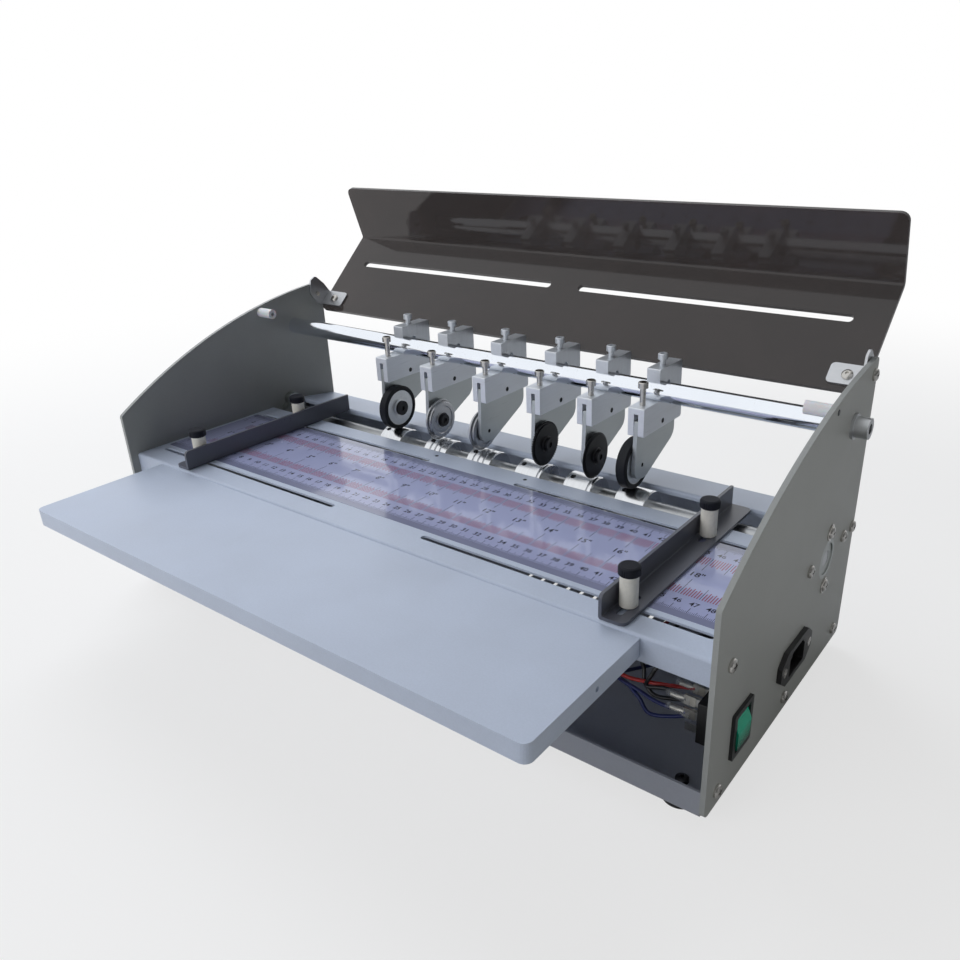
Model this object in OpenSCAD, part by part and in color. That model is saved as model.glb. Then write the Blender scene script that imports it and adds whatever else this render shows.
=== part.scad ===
// Desktop creasing and perforating machine with a hinged hood.
// Millimetres, +Z up, +X to the right along the shafts, +Y away from the operator.
// The origin lies under the middle of the machine, on the surface that it stands on.

/* [Frame] */
// Clear width between the two side plates
inner_w = 500; // [490:2:520]
// Thickness of each side plate
plate_t = 3; // [2.5:0.5:4]
// Depth of each side plate, front to back
plate_d = 215; // [214:1:220]
// Height of the side plate at its front edge
plate_front_h = 128; // [124:1:134]
// Height of the side plate at its rear edge
plate_rear_h = 197.5; // [196:0.5:202]
// Radius of the side plate's curved top edge
plate_arc_r = 447; // [400:10:520]
// Height of the rubber feet
foot_h = 10; // [8:1:14]
// Diameter of the rubber feet
foot_d = 25; // [18:1:26]
// Sheet thickness of pan, deck, table and rear panel
sheet_t = 1.5; // [1.2:0.1:1.8]
// Height of the pan's upturned flanges
pan_flange_h = 17; // [15:1:22]

/* [Deck and table] */
// Height of the deck's top face above the pan's underside
deck_h = 95; // [94:0.5:97]
// Height of the deck's down-turned flanges
deck_flange_h = 15.5; // [13:0.5:16]
// Width of the four guide slots in the deck
deck_slot_w = 4.6; // [4.4:0.2:6]
// Width of the feed table
table_w = 425; // [400:5:470]
// Sideways offset of the feed table
table_dx = -4; // [-10:1:10]
// Depth of the feed table in front of the deck
table_d = 98; // [80:2:120]
// Height of the feed table's flanges
table_flange_h = 11.5; // [9:0.5:14]

/* [Hood] */
// Length of the hood sheet, hinge edge to bend
hood_long = 84; // [80:1:88]
// Length of the hood sheet beyond the bend
hood_short = 47.5; // [40:0.5:50]
// Angle that the sheet turns at its bend
hood_bend = 66; // [58:1:70]
// Thickness of the hood sheet
hood_t = 3; // [2:0.5:4]
// Slope of the long panel when the hood stands open
hood_open = 42; // [38:1:50]
// Width of the two hex-key slots
hood_slot_w = 6; // [5:0.5:8]

/* [Rollers and drive] */
// Diameter of the driven shaft
shaft_d = 16; // [14:0.5:16]
// Outer diameter of the six rollers on it
roller_d = 30; // [28:0.5:30]
// Width of each roller
roller_w = 24; // [20:1:26]
// Number of teeth on each of the two equal gears
gear_teeth = 22; // [20:1:22]

/* [Tools] */
// Diameter of the bar that carries the tools
bar_d = 14.2; // [12:0.2:15]
// Width of each tool block
block_w = 12; // [11:0.5:13]
// Thickness of each tool arm
arm_t = 3; // [2.5:0.5:4]
// Radius of the two rubber-tyred wheels
tyre_r = 18.2; // [17:0.2:18.6]
// Radius of the creasing wheels
crease_r = 16.4; // [15:0.2:17]
// Radius of the perforating and slitting wheels
perf_r = 16.8; // [15.4:0.2:17]
// Number of teeth on the perforating wheel
perf_teeth = 56; // [40:2:60]

/* [Side guides] */
// Width of the guide's base flange
guide_w = 16; // [15:0.5:18]
// Height of the guide's wall
guide_h = 15; // [12:1:18]
// Length of the guide, front to back
guide_l = 166; // [150:2:166]
// Sheet thickness of the guides
guide_t = 2; // [1.5:0.5:2.5]
// Diameter of the thumb screws' knurled caps
cap_d = 12.6; // [11:0.2:14]
// Diameter of the thumb screws' white sleeves
sleeve_d = 10.4; // [9:0.2:11]
// Height of the white sleeves
sleeve_h = 19; // [15:1:22]

/* [Hidden] */
$fn = 64;

// Fits
run = 0.05;   // radial clearance of a running or sliding fit
gap = 0.3;    // clearance between faces that only pass each other
cut = 0.5;    // how far a cutter runs past the face that it opens

// Widths across the machine
half = inner_w / 2;
outer = half + plate_t;

// Heights, from the surface that the feet stand on
pan_z = foot_h;
deck_z = pan_z + deck_h;
shaft_z = deck_z + 1.5 - roller_d/2;
bar_z = deck_z + 68.4;
pivot_z = pan_z + plate_rear_h - 10;

// Depths, from the side plates' front edges
pivot_y = plate_d - 7;
bar_y = pivot_y - 29;
shaft_y = bar_y - 17;
deck_y0 = 6;
deck_y1 = shaft_y - 19;
deck_lip_h = 7;
pin_y = shaft_y - 18;
panel_y0 = shaft_y + 12.5;
panel_y1 = plate_d - 0.5;

// Hood in its own frame: pivot at the origin, long panel along +Y, below the pivot
hood_w = inner_w - 5;
hood_drop = 11;
hood_heel = 8;
hood_knee = hood_long - hood_heel;
hood_slot_in = 30;
hood_slot_y = hood_knee - hood_slot_in;
hood_slot_x = [16, 222];
function turned(p, a) = [p[0]*cos(a) - p[1]*sin(a), p[0]*sin(a) + p[1]*cos(a)];
// Shift that centres the machine, with its hood open, over the origin
hood_bend_r = 2;
knee_mid = [hood_knee - hood_bend_r*tan(hood_bend/2), hood_bend_r - hood_drop];
rear_most = pivot_y + turned(knee_mid, hood_open)[0] + hood_bend_r + hood_t;
front_most = deck_y0 - table_d;
mid_y = (front_most + rear_most) / 2;

// Pan-head screws of the side plates, as [y, z]
deck_screws = [[deck_y0 + 12, deck_z - 7], [deck_y1 - 13.5, deck_z - 7]];
panel_screws = [[panel_y0 + 16.5, deck_z - 10], [plate_d - 6, deck_z - 10.5]];
pan_screws = [[13.5, pan_z + 10.5], [108.5, pan_z + 10.5], [plate_d - 16, pan_z + 10.5]];
bearing_screws = [[shaft_y, shaft_z + 18.5], [shaft_y, shaft_z - 18.5]];
frame_screws = concat(deck_screws, panel_screws, pan_screws, bearing_screws);
screw_r = 2;
screw_head_r = 4;
screw_head_h = 2.6;
pin_r = 4;
pin_l = 16;
pin_bore_r = 1.6;
bar_r = bar_d / 2;
bar_screw_r = 4;

// Mains inlet and switch in the right side plate, as [y, z]
inlet_at = [117, deck_z - 59];
inlet_hole = [27.6, 20.4];
switch_at = [39, deck_z - 59.5];
switch_hole = [21.6, 26.6];
switch_rim = 1.6;
fit_cut = 0.2;

// Bearings
bearing_r = 13;
journal_r = 5;
housing_t = 6;

// Gears: equal spur gears, one on the shaft and one on the motor below it
gear_m = 1;
gear_w = 8;
gear_x = -half + 16;
pitch_r = gear_m * gear_teeth / 2;
motor_y = shaft_y;
motor_shaft_z = shaft_z - 2*pitch_r;
motor_r = 29;
motor_z = motor_shaft_z - 18;
motor_shaft_r = 3.5;
bracket_x = gear_x + gear_w + 3;
bracket_t = 2;

// Rollers and tools along X, from the middle; side is where the wheel sits
roller_x = [-109.5, -59.6, -15, 32.2, 76.2, 119.2];
tool_x = [-115, -66.5, -13, 37, 80.5, 121];
tool_side = [1, 1, -1, 1, 1, -1];
wheel_r = [tyre_r, crease_r, crease_r, perf_r, perf_r, tyre_r];
wheel_w = [8, 6, 6, 5, 5, 8];
press_len = [21, 16, 16, 16, 16, 21];

// Tool block, in the plane across the bar
block_y0 = shaft_y - 8.5;
block_y1 = bar_y + 29;
block_z0 = bar_z - 25.4;
block_z1 = bar_z - bar_r + 1.5;
slot_roof = block_z1 - 4.3;
arm_pivot = [bar_y + 1.5, bar_z - 20.9];
arm_pin_r = 1.5;
arm_top = arm_pivot[1] + 6;
arm_y1 = bar_y + 18.5;
arm_tail = block_y1 - 0.5;
nip = 0.3;
press_y = shaft_y;
m4_r = 2;
m4_tap_r = 1.65;  // core hole of an M4 thread in sheet
m4_head_r = 3.5;
m4_head_h = 4;
hex_r = 1.75;
jaw_w = 10;
jaw_y0 = bar_y - 3;
jaw_y1 = block_y1;
jaw_z0 = bar_z + bar_r - 3.5;
jaw_z1 = jaw_z0 + 12;
jaw_screw_y = bar_y + bar_r + gap + m4_r;
jaw_leg_y = jaw_screw_y + m4_r + 1.5;
axle_r = 2.5;
axle_head_r = [6, 4.8, 4.8, 4.8, 4.8, 6];
axle_head_h = 2;

// Side guides
guide_x = 190.5;
guide_y0 = panel_y0 - 1 - guide_l;
knob_y = [deck_y0 + 19.5, deck_y1 - 19.5];
knob_screw_r = 2;
cap_h = 5.6;

// ---------------------------------------------------------------- outlines

function unit(v) = v / norm(v);

// The points of one corner b between a and c, rounded to radius r
function corner(a, b, c, r, n) =
  r <= 0 ? [b] :
  let (
    u = unit(a - b),
    w = unit(c - b),
    h = acos(u*w) / 2,
    o = b + unit(u + w) * (r / sin(h)),
    s = b + u*(r/tan(h)) - o,
    e = b + w*(r/tan(h)) - o,
    a0 = atan2(s[1], s[0]),
    t = atan2(e[1], e[0]) - a0,
    k = t > 180 ? t - 360 : t < -180 ? t + 360 : t
  ) [for (i = [0:n]) o + r*[cos(a0 + k*i/n), sin(a0 + k*i/n)]];

// A closed outline with each corner rounded; r is one radius or one for each point
function rounded(p, r, n = 6) =
  let (m = len(p))
  [for (i = [0:m-1])
    each corner(p[(i + m - 1) % m], p[i], p[(i + 1) % m], is_list(r) ? r[i] : r, n)];

function box2(y0, y1, z0, z1) = [[y0, z0], [y1, z0], [y1, z1], [y0, z1]];

// Draws a Y-Z outline as a sheet between two X planes
module across(x0, x1) {
  translate([x0, 0, 0])
    rotate([90, 0, 90])
      linear_extrude(x1 - x0)
        children();
}

// A cylinder along X
module rod(x0, x1, r, y = 0, z = 0) {
  translate([x0, y, z])
    rotate([0, 90, 0])
      cylinder(r = r, h = x1 - x0);
}

// A block given by its two corners
module block(a, b) {
  translate(a) cube(b - a);
}

module centred() {
  translate([0, -mid_y, 0]) children();
}

// ---------------------------------------------------------------- frame

arc_mid = let (
    p = [0, pan_z + plate_front_h],
    q = [plate_d, pan_z + plate_rear_h],
    m = (p + q) / 2,
    d = q - p,
    h = sqrt(plate_arc_r*plate_arc_r - (d*d)/4)
  ) m + h*unit([d[1], -d[0]]);

// Height of the plate's arched edge at a depth y
function arch_z(y) = arc_mid[1] + sqrt(plate_arc_r*plate_arc_r - pow(y - arc_mid[0], 2));

pin_z = arch_z(pin_y) - 5.67;

// Side plate: straight foot, upright ends, arched top
function plate_outline(n = 36) =
  let (
    a0 = atan2(pan_z + plate_front_h - arc_mid[1], -arc_mid[0]),
    a1 = atan2(pan_z + plate_rear_h - arc_mid[1], plate_d - arc_mid[0]),
    top = [for (i = [1:n-1]) arc_mid + plate_arc_r*[cos(a0 + (a1 - a0)*i/n), sin(a0 + (a1 - a0)*i/n)]],
    ends = [[plate_d, pan_z], [0, pan_z], [0, pan_z + plate_front_h]],
    back = [plate_d, pan_z + plate_rear_h]
  ) concat(
    corner(top[n-2], back, ends[0], 3, 6),
    corner(back, ends[0], ends[1], 5, 6),
    corner(ends[0], ends[1], ends[2], 5, 6),
    corner(ends[1], ends[2], top[0], 3, 6),
    top);

module plate_blank() {
  linear_extrude(plate_t)
    difference() {
      polygon(plate_outline());
      for (p = frame_screws) translate(p) circle(r = screw_r + run, $fn = 24);
      translate([bar_y, bar_z]) circle(r = bar_screw_r + run, $fn = 32);
      translate([pin_y, pin_z]) circle(r = pin_bore_r, $fn = 24);
      translate([pivot_y, pivot_z]) circle(r = screw_r + run, $fn = 24);
      translate([shaft_y, shaft_z]) circle(r = bearing_r + run);
      children();
    }
}

module left_side_plate() {
  color("dimgray")
    translate([-outer, 0, 0])
      rotate([90, 0, 90])
        plate_blank();
}

module right_side_plate() {
  color("dimgray")
    translate([half, 0, 0])
      rotate([90, 0, 90])
        plate_blank() {
          translate(inlet_at) square(inlet_hole + [fit_cut, fit_cut], center = true);
          translate(switch_at) square(switch_hole + [fit_cut, fit_cut], center = true);
          for (s = [-1, 1]) translate(inlet_at + [20*s, 0]) circle(r = 1.6, $fn = 24);
          translate([inlet_at[0] + 34.5, deck_z - 70]) circle(r = 1.5, $fn = 24);
        }
}

// Holes for the frame screws in the flanges that meet the side plates
module flange_holes(list) {
  for (p = list)
    rod(-half - cut, half + cut, screw_r + run, p[0], p[1], $fn = 24);
}

pan_y0 = 0.5;
pan_y1 = panel_y1 - sheet_t;
module base_pan() {
  t = sheet_t;
  top = pan_z + pan_flange_h;
  color("gray")
    difference() {
      union() {
        across(-half, half)
          polygon(rounded([
            [pan_y0, top], [pan_y0, pan_z], [pan_y1, pan_z], [pan_y1, top],
            [pan_y1 - t, top], [pan_y1 - t, pan_z + t], [pan_y0 + t, pan_z + t], [pan_y0 + t, top]],
            [0, 2, 2, 0, 0, 0.5, 0.5, 0]));
        for (s = [-1, 1])
          across(s > 0 ? half - t : -half, s > 0 ? half : t - half)
            polygon(rounded(box2(pan_y0 + t, pan_y1 - t, pan_z + t/2, top - 1), [0, 0, 3, 3]));
      }
      flange_holes(pan_screws);
      for (x = [-1, 1], y = foot_y)
        translate([x*foot_x, y, pan_z - cut])
          cylinder(r = m4_r + run, h = t + 2*cut, $fn = 24);
      for (i = [-5:5])
        translate([i*12 + 90, shaft_y - 12, pan_z - cut])
          vent_slot();
    }
}

// Ventilation slot in the pan below the motor leads
module vent_slot() {
  for (y = [-12, 12]) translate([0, y, 0]) cylinder(r = 2, h = sheet_t + 2*cut, $fn = 24);
  translate([-2, -12, 0]) cube([4, 24, sheet_t + 2*cut]);
}

module deck() {
  t = sheet_t;
  low = deck_z - deck_flange_h;
  color("lightslategray")
    difference() {
      union() {
        across(-half, half)
          polygon(rounded([
            [deck_y0, low], [deck_y0, deck_z], [deck_y1, deck_z], [deck_y1, deck_z - deck_lip_h],
            [deck_y1 - t, deck_z - deck_lip_h], [deck_y1 - t, deck_z - t],
            [deck_y0 + t, deck_z - t], [deck_y0 + t, low]],
            [0, 2, 2, 0, 0, 0.5, 0.5, 0]));
        for (s = [-1, 1])
          across(s > 0 ? half - t : -half, s > 0 ? half : t - half)
            polygon(rounded(box2(deck_y0 + 3, deck_y1 - 3, low, deck_z - t/2), [2, 2, 0, 0]));
      }
      flange_holes(deck_screws);
      for (s = [-1, 1], y = knob_y) deck_slot(s, y);
      for (s = [-1, 1])
        translate([s*42.5, deck_y1 - 9, deck_z - 2*t]) cylinder(r = 1.6, h = 3*t, $fn = 24);
      for (x = table_screw_x)
        translate([x, deck_y0 - cut, table_screw_z])
          rotate([-90, 0, 0]) cylinder(r = m4_tap_r, h = t + 2*cut, $fn = 24);
    }
}

// Slots that the side guides' thumb screws run in
deck_slot_x = [43, half - 12];
module deck_slot(s, y) {
  r = deck_slot_w / 2;
  for (x = deck_slot_x)
    translate([s*x, y, deck_z - 2*sheet_t]) cylinder(r = r, h = 3*sheet_t, $fn = 32);
  block([s > 0 ? deck_slot_x[0] : -deck_slot_x[1], y - r, deck_z - 2*sheet_t],
        [s > 0 ? deck_slot_x[1] : -deck_slot_x[0], y + r, deck_z + sheet_t]);
}

// Feed table: a shallow tray turned over, screwed to the deck's front flange
table_z = deck_z - 1.5;
table_screw_x = [-180, -60, 60, 172];
table_screw_z = table_z - 6.5;
module feed_table() {
  t = sheet_t;
  x0 = table_dx - table_w/2;
  x1 = table_dx + table_w/2;
  y0 = deck_y0 - table_d;
  low = table_z - table_flange_h;
  color("lightslategray")
    difference() {
      translate([0, 0, low])
        linear_extrude(table_flange_h)
          polygon(rounded([[x0, y0], [x1, y0], [x1, deck_y0], [x0, deck_y0]], [5, 5, 0.5, 0.5]));
      translate([0, 0, low - cut])
        linear_extrude(table_flange_h - t + cut)
          polygon(rounded(
            [[x0 + t, y0 + t], [x1 - t, y0 + t], [x1 - t, deck_y0 - t], [x0 + t, deck_y0 - t]],
            [3.5, 3.5, 0.5, 0.5]));
      for (x = table_screw_x)
        translate([x, deck_y0 - t - cut, table_screw_z])
          rotate([-90, 0, 0]) cylinder(r = screw_r + run, h = t + 2*cut, $fn = 24);
      rod(x1 - t - cut, x1 + cut, 1.5, deck_y0 - 41, table_z - 6, $fn = 24);
      rod(x0 - cut, x0 + t + cut, 1.5, deck_y0 - 41, table_z - 6, $fn = 24);
    }
}

// Rear panel: short lip over the roller well, sloping top and back wall
module rear_panel() {
  t = sheet_t;
  y0 = panel_y0;
  y1 = panel_y1;
  za = deck_z + 0.8;
  zb = deck_z - 4.5;
  low = pan_z + 2;
  lip = deck_z - 3.5;
  color("lightslategray")
    difference() {
      union() {
        across(-half, half)
          polygon(rounded([
            [y0, lip], [y0, za], [y1, zb], [y1, low],
            [y1 - t, low], [y1 - t, zb - t], [y0 + t, za - t], [y0 + t, lip]],
            [0, 2, 2, 0, 0, 0.5, 0.5, 0]));
        for (s = [-1, 1])
          across(s > 0 ? half - t : -half, s > 0 ? half : t - half)
            polygon([[y0 + 8, deck_z - 17], [y1 - t, deck_z - 17],
                     [y1 - t, zb - t/2], [y0 + 8, za - t - 0.5]]);
      }
      flange_holes(panel_screws);
      for (i = [-9:9])
        translate([i*9, y1 - t - cut, 52])
          rotate([-90, 0, 0]) louvre();
    }
}

// One round-ended cooling slot in the back wall
module louvre() {
  for (z = [-14, 14]) translate([0, z, 0]) cylinder(r = 1.5, h = sheet_t + 2*cut, $fn = 24);
  translate([-1.5, -14, 0]) cube([3, 28, sheet_t + 2*cut]);
}

foot_x = half - 19;
foot_y = [19, plate_d - 19];
foot_recess_r = foot_d/2 - 5;
module rubber_feet() {
  color("black")
    for (s = [-1, 1], y = foot_y)
      translate([s*foot_x, y, 0])
        rotate_extrude()
          polygon([
            [m4_r + run, 4], [foot_recess_r - 1, 4], [foot_recess_r, 0], [foot_d/2 - 2.5, 0],
            [foot_d/2 - 1.5, 1], [foot_d/2, foot_h], [m4_r + run, foot_h]]);
}

// Pan head with a domed top, standing on the plane x = 0 and pointing to +X
module pan_head(r = screw_head_r, h = screw_head_h) {
  rotate([0, 90, 0])
    difference() {
      rotate_extrude($fn = 32)
        polygon([[0, 0], [r, 0], [r, h*0.45], [r*0.9, h*0.75], [r*0.65, h*0.93], [0, h]]);
      for (a = [0, 90])
        rotate([0, 0, a]) translate([-r*0.55, -0.45, h - 1.2]) cube([r*1.1, 0.9, 2]);
    }
}

// Screws on both side plates; the top pair are the hood's pivots
module plate_screws() {
  color("silver")
    for (s = [0, 1])
      mirror([s, 0, 0])
        union() {
          for (p = concat(frame_screws, [[pivot_y, pivot_z]]))
            translate([outer, p[0], p[1]]) {
              pan_head();
              rod(-plate_t - (p[1] > deck_z ? 3.2 : 4.2), 0.5, screw_r, $fn = 24);
            }
        }
}

module stop_pins() {
  color("ivory")
    for (s = [0, 1])
      mirror([s, 0, 0])
        difference() {
          rod(half - pin_l, half, pin_r, pin_y, pin_z, $fn = 32);
          rod(half - pin_l - cut, half + cut, pin_bore_r, pin_y, pin_z, $fn = 24);
        }
}

bar_bore = 20;
module tool_bar() {
  color("lightgray")
    difference() {
      rod(-half, half, bar_r, bar_y, bar_z);
      for (s = [0, 1])
        mirror([s, 0, 0])
          rod(half - bar_bore, half + cut, bar_screw_r + run, bar_y, bar_z, $fn = 32);
    }
}

// Cap screws with washers that hold the bar between the plates
module bar_screws() {
  color("silver")
    for (s = [0, 1])
      mirror([s, 0, 0])
        translate([outer, bar_y, bar_z])
          difference() {
            union() {
              rod(0, 1.6, 8);
              rod(1.6, 9.6, 6.5);
              rod(-plate_t - bar_bore + 2, 1, bar_screw_r, $fn = 32);
            }
            rod(5.6, 10, 3.46, $fn = 6);
          }
}

// ---------------------------------------------------------------- drive

// Oval flange units that carry the shaft's journals in the side plates
module shaft_bearings() {
  color("silver")
    for (s = [0, 1])
      mirror([s, 0, 0])
        difference() {
          union() {
            across(half - housing_t, half)
              polygon(rounded([
                [shaft_y - 9, shaft_z - 25], [shaft_y + 9, shaft_z - 25], [shaft_y + 16, shaft_z],
                [shaft_y + 9, shaft_z + 14.5], [shaft_y - 9, shaft_z + 14.5], [shaft_y - 14, shaft_z]],
                [6, 6, 8, 6, 6, 8]));
            across(half - housing_t, half)
              polygon(rounded(box2(shaft_y - 6, shaft_y + 6, shaft_z + 10, shaft_z + 23), [0, 0, 5, 5]));
            rod(half - 1, outer, bearing_r, shaft_y, shaft_z);
          }
          rod(half - housing_t - cut, outer + cut, journal_r + run, shaft_y, shaft_z);
          rod(outer - 0.8, outer + cut, 10.5, shaft_y, shaft_z);
          for (p = bearing_screws)
            rod(half - housing_t - cut, half + cut, screw_r + run, p[0], p[1], $fn = 24);
        }
}

shaft_shoulder = half - housing_t - 2;
module drive_shaft() {
  color("lightgray")
    union() {
      rod(-shaft_shoulder, shaft_shoulder, shaft_d/2, shaft_y, shaft_z);
      rod(-outer + 1, outer - 1, journal_r, shaft_y, shaft_z);
    }
}

// Rollers clamped on the shaft; grooved ones under the creasing wheels
module roller(grooves, w = roller_w) {
  r = roller_d / 2;
  rotate([0, 90, 0])
    difference() {
      rotate_extrude($fn = 96)
        polygon([
          [shaft_d/2 + run, -w/2], [r - 0.8, -w/2], [r, -w/2 + 0.8],
          for (g = grooves) each [[r, g - 0.9], [r - 1.2, g - 0.5], [r - 1.2, g + 0.5], [r, g + 0.9]],
          [r, w/2 - 0.8], [r - 0.8, w/2], [shaft_d/2 + run, w/2]]);
      for (a = [200, 320])
        rotate([0, 0, a]) translate([shaft_d/2 - 1, 0, -w/2 + 5])
          rotate([0, 90, 0]) cylinder(r = m4_r, h = r, $fn = 24);
    }
}

module shaft_rollers() {
  color("silver")
    for (i = [0:5])
      translate([roller_x[i], shaft_y, shaft_z])
        roller(i == 1 || i == 2 ? [-5, 0, 5] : i == 3 || i == 4 ? [wheel_x(i) - roller_x[i]] : []);
}

// Involute tooth flank, as a polar point at radius r
inv_base = gear_m * gear_teeth / 2 * cos(20);
function inv_turn(r) = let (c = inv_base / r, a = acos(min(1, c))) tan(a)*180/PI - a;
backlash_deg = 0.9;
half_tooth = 90/gear_teeth + inv_turn(gear_m*gear_teeth/2) - backlash_deg/2;
function flank(r) = let (q = max(r, inv_base)) half_tooth - inv_turn(q);
function gear_outline() =
  let (
    rr = pitch_r - 1.25*gear_m,
    ro = pitch_r + 0.92*gear_m,
    steps = [for (i = [0:5]) rr + (ro - rr)*i/5]
  ) [for (k = [0:gear_teeth-1])
      let (a = 360*k/gear_teeth)
      each concat(
        [for (i = [0:5]) steps[i]*[cos(a - flank(steps[i])), sin(a - flank(steps[i]))]],
        [for (i = [5:-1:0]) steps[i]*[cos(a + flank(steps[i])), sin(a + flank(steps[i]))]])];

// A gear with its hub on the motor side and its axis along X
module gear(bore_r, phase, hub_r) {
  difference() {
    union() {
      rotate([0, 90, 0]) rotate([0, 0, phase]) linear_extrude(gear_w) polygon(gear_outline());
      rod(gear_w - 0.5, gear_w + 2.5, hub_r);
    }
    rod(-cut, gear_w + 3, bore_r);
  }
}

module shaft_gear() {
  color("slategray")
    translate([gear_x, shaft_y, shaft_z])
      gear(shaft_d/2 + run, 0, shaft_d/2 + 2);
}

// Motor shaft with its gear fixed on it
module motor_pinion() {
  mesh = gear_teeth % 2 == 0 ? 180/gear_teeth : 0;
  color("slategray")
    translate([gear_x, motor_y, motor_shaft_z])
      union() {
        gear(motor_shaft_r - 0.5, mesh, 6);
        rod(-1, gear_w + 20, motor_shaft_r);
      }
}

nose_r = 8;
motor_len = 46;
module gear_motor() {
  x0 = bracket_x + bracket_t;
  color("darkslategray")
    difference() {
      union() {
        rod(x0, x0 + 16, motor_r, motor_y, motor_z);
        rod(x0 + 16, x0 + motor_len, motor_r - 2, motor_y, motor_z);
        rod(x0 + motor_len, x0 + motor_len + 2, 9, motor_y, motor_z);
        rod(bracket_x, x0 + 1, nose_r, motor_y, motor_shaft_z);
        for (s = [-1, 1])
          across(x0, x0 + 3)
            polygon(rounded([
              [motor_y + s*20, motor_z - 8], [motor_y + s*36, motor_z - 6],
              [motor_y + s*36, motor_z + 6], [motor_y + s*20, motor_z + 8]], [0, 4, 4, 0]));
      }
      rod(bracket_x - cut, x0 + 15.5, motor_shaft_r + run, motor_y, motor_shaft_z);
      for (s = [-1, 1]) rod(x0 - cut, x0 + 4, m4_r + run, motor_y + s*31, motor_z, $fn = 24);
      for (i = [0:11])
        translate([x0 + 20 + (i % 6)*4, motor_y, motor_z])
          rotate([i < 6 ? 35 : -35, 0, 0]) translate([0, -motor_r, -3]) cube([2, 4, 6]);
    }
}

module motor_bracket() {
  y0 = motor_y - 38;
  y1 = motor_y + 38;
  foot = 26;
  top = motor_shaft_z + 11;
  color("silver")
    difference() {
      union() {
        across(bracket_x, bracket_x + bracket_t)
          polygon(rounded(box2(y0, y1, pan_z + sheet_t, top), [0, 0, 8, 8]));
        block([bracket_x - foot + bracket_t, y0, pan_z + sheet_t],
              [bracket_x + 1, y1, pan_z + sheet_t + bracket_t]);
      }
      rod(bracket_x - cut, bracket_x + bracket_t + cut, nose_r + run, motor_y, motor_shaft_z);
      for (s = [-1, 1])
        rod(bracket_x - cut, bracket_x + bracket_t + cut, m4_r + run, motor_y + s*31, motor_z, $fn = 24);
      for (y = [y0 + 10, y1 - 10])
        translate([bracket_x - 13, y, pan_z]) cylinder(r = m4_r + run, h = 6, $fn = 24);
    }
}

// ---------------------------------------------------------------- electrics

// Three-pin mains inlet, held by its two ears
module power_inlet() {
  y = inlet_at[0];
  z = inlet_at[1];
  color("black")
    difference() {
      union() {
        across(outer, outer + 3)
          polygon(rounded([
            [y - 25, z - 5], [y - 17, z - 11.5], [y + 17, z - 11.5], [y + 25, z - 5],
            [y + 25, z + 5], [y + 17, z + 11.5], [y - 17, z + 11.5], [y - 25, z + 5]], 1.5));
        across(half - 16, outer)
          polygon(rounded(box2(y - inlet_hole[0]/2, y + inlet_hole[0]/2,
                               z - inlet_hole[1]/2, z + inlet_hole[1]/2), 1));
      }
      across(outer - 13, outer + 4)
        polygon(rounded([
          [y - 12, z - 8], [y + 12, z - 8], [y + 12, z + 4], [y + 8, z + 8],
          [y - 8, z + 8], [y - 12, z + 4]], 1));
      for (s = [-1, 1]) rod(outer - 1, outer + 4, 1.6, y + 20*s, z, $fn = 24);
    }
  color("silver")
    for (p = inlet_pins) {
      block([outer - 13.5, y + p[0] - 1, z + p[1] - 2], [outer - 2, y + p[0] + 1, z + p[1] + 2]);
      block([half - 24, y + p[0] - 0.4, z + p[1] - 3], [half - 15.5, y + p[0] + 0.4, z + p[1] + 3]);
    }
}

inlet_pins = [[-7, -1.5], [0, 2.5], [7, -1.5]];

// Switch body with an open front; the rocker turns on its two side pips
switch_body_l = 20;
switch_axis_x = outer - 5;
module switch_housing() {
  y = switch_at[0];
  z = switch_at[1];
  w = switch_hole[0];
  h = switch_hole[1];
  color("black")
    difference() {
      union() {
        across(outer, outer + 2)
          polygon(rounded(box2(y - w/2 - switch_rim, y + w/2 + switch_rim,
                               z - h/2 - switch_rim, z + h/2 + switch_rim), 1.5));
        across(outer - switch_body_l, outer)
          polygon(rounded(box2(y - w/2, y + w/2, z - h/2, z + h/2), 0.6));
      }
      block([outer - 12, y - w/2 + 2, z - h/2 + 1.6], [outer + 3, y + w/2 - 2, z + h/2 - 1.6]);
      translate([switch_axis_x, y - w/2 + 0.8, z])
        rotate([-90, 0, 0]) cylinder(r = 1.5 + run, h = w - 1.6, $fn = 24);
    }
  color("silver")
    for (p = switch_tabs)
      block([outer - switch_body_l - 9, y + p[0] - 0.4, z + p[1] - 2.4],
            [outer - switch_body_l + 0.2, y + p[0] + 0.4, z + p[1] + 2.4]);
}
switch_tabs = [for (a = [-5.5, 5.5], b = [-9, 0, 9]) [a, b]];

// Rocker: two faces that meet in a shallow ridge, tilted with its top pressed in
rocker_tilt = 10;
module switch_rocker() {
  y = switch_at[0];
  w = switch_hole[0] - 4.6;
  k = switch_hole[1]/2 - 2.4;
  color("seagreen")
    translate([switch_axis_x, y, switch_at[1]])
      rotate([0, -rocker_tilt, 0])
        union() {
          rotate([90, 0, 0])
            linear_extrude(w, center = true)
              polygon([
                [-3, -7], [-3, 7], [2, k - 0.4], [6.2, k - 0.4], [8.2, 0.4], [8.2, -0.4],
                [6.2, 0.4 - k], [2, 0.4 - k]]);
          rotate([90, 0, 0]) cylinder(r = 1.5, h = w + 2.4, center = true, $fn = 24);
        }
}

// ---------------------------------------------------------------- leads

// A smooth course through hand-set points
function spline(p, n) =
  let (m = len(p) - 1)
  [for (i = [0:m-1], j = [0:n-1])
    let (
      a = p[max(i-1, 0)],
      b = p[i],
      c = p[i+1],
      d = p[min(i+2, m)],
      t = j/n
    ) 0.5*(2*b + (c - a)*t + (2*a - 5*b + 4*c - d)*t*t + (3*b - a - 3*c + d)*t*t*t),
   p[m]];

lead_r = 1.2;
lead_sides = 8;

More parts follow.
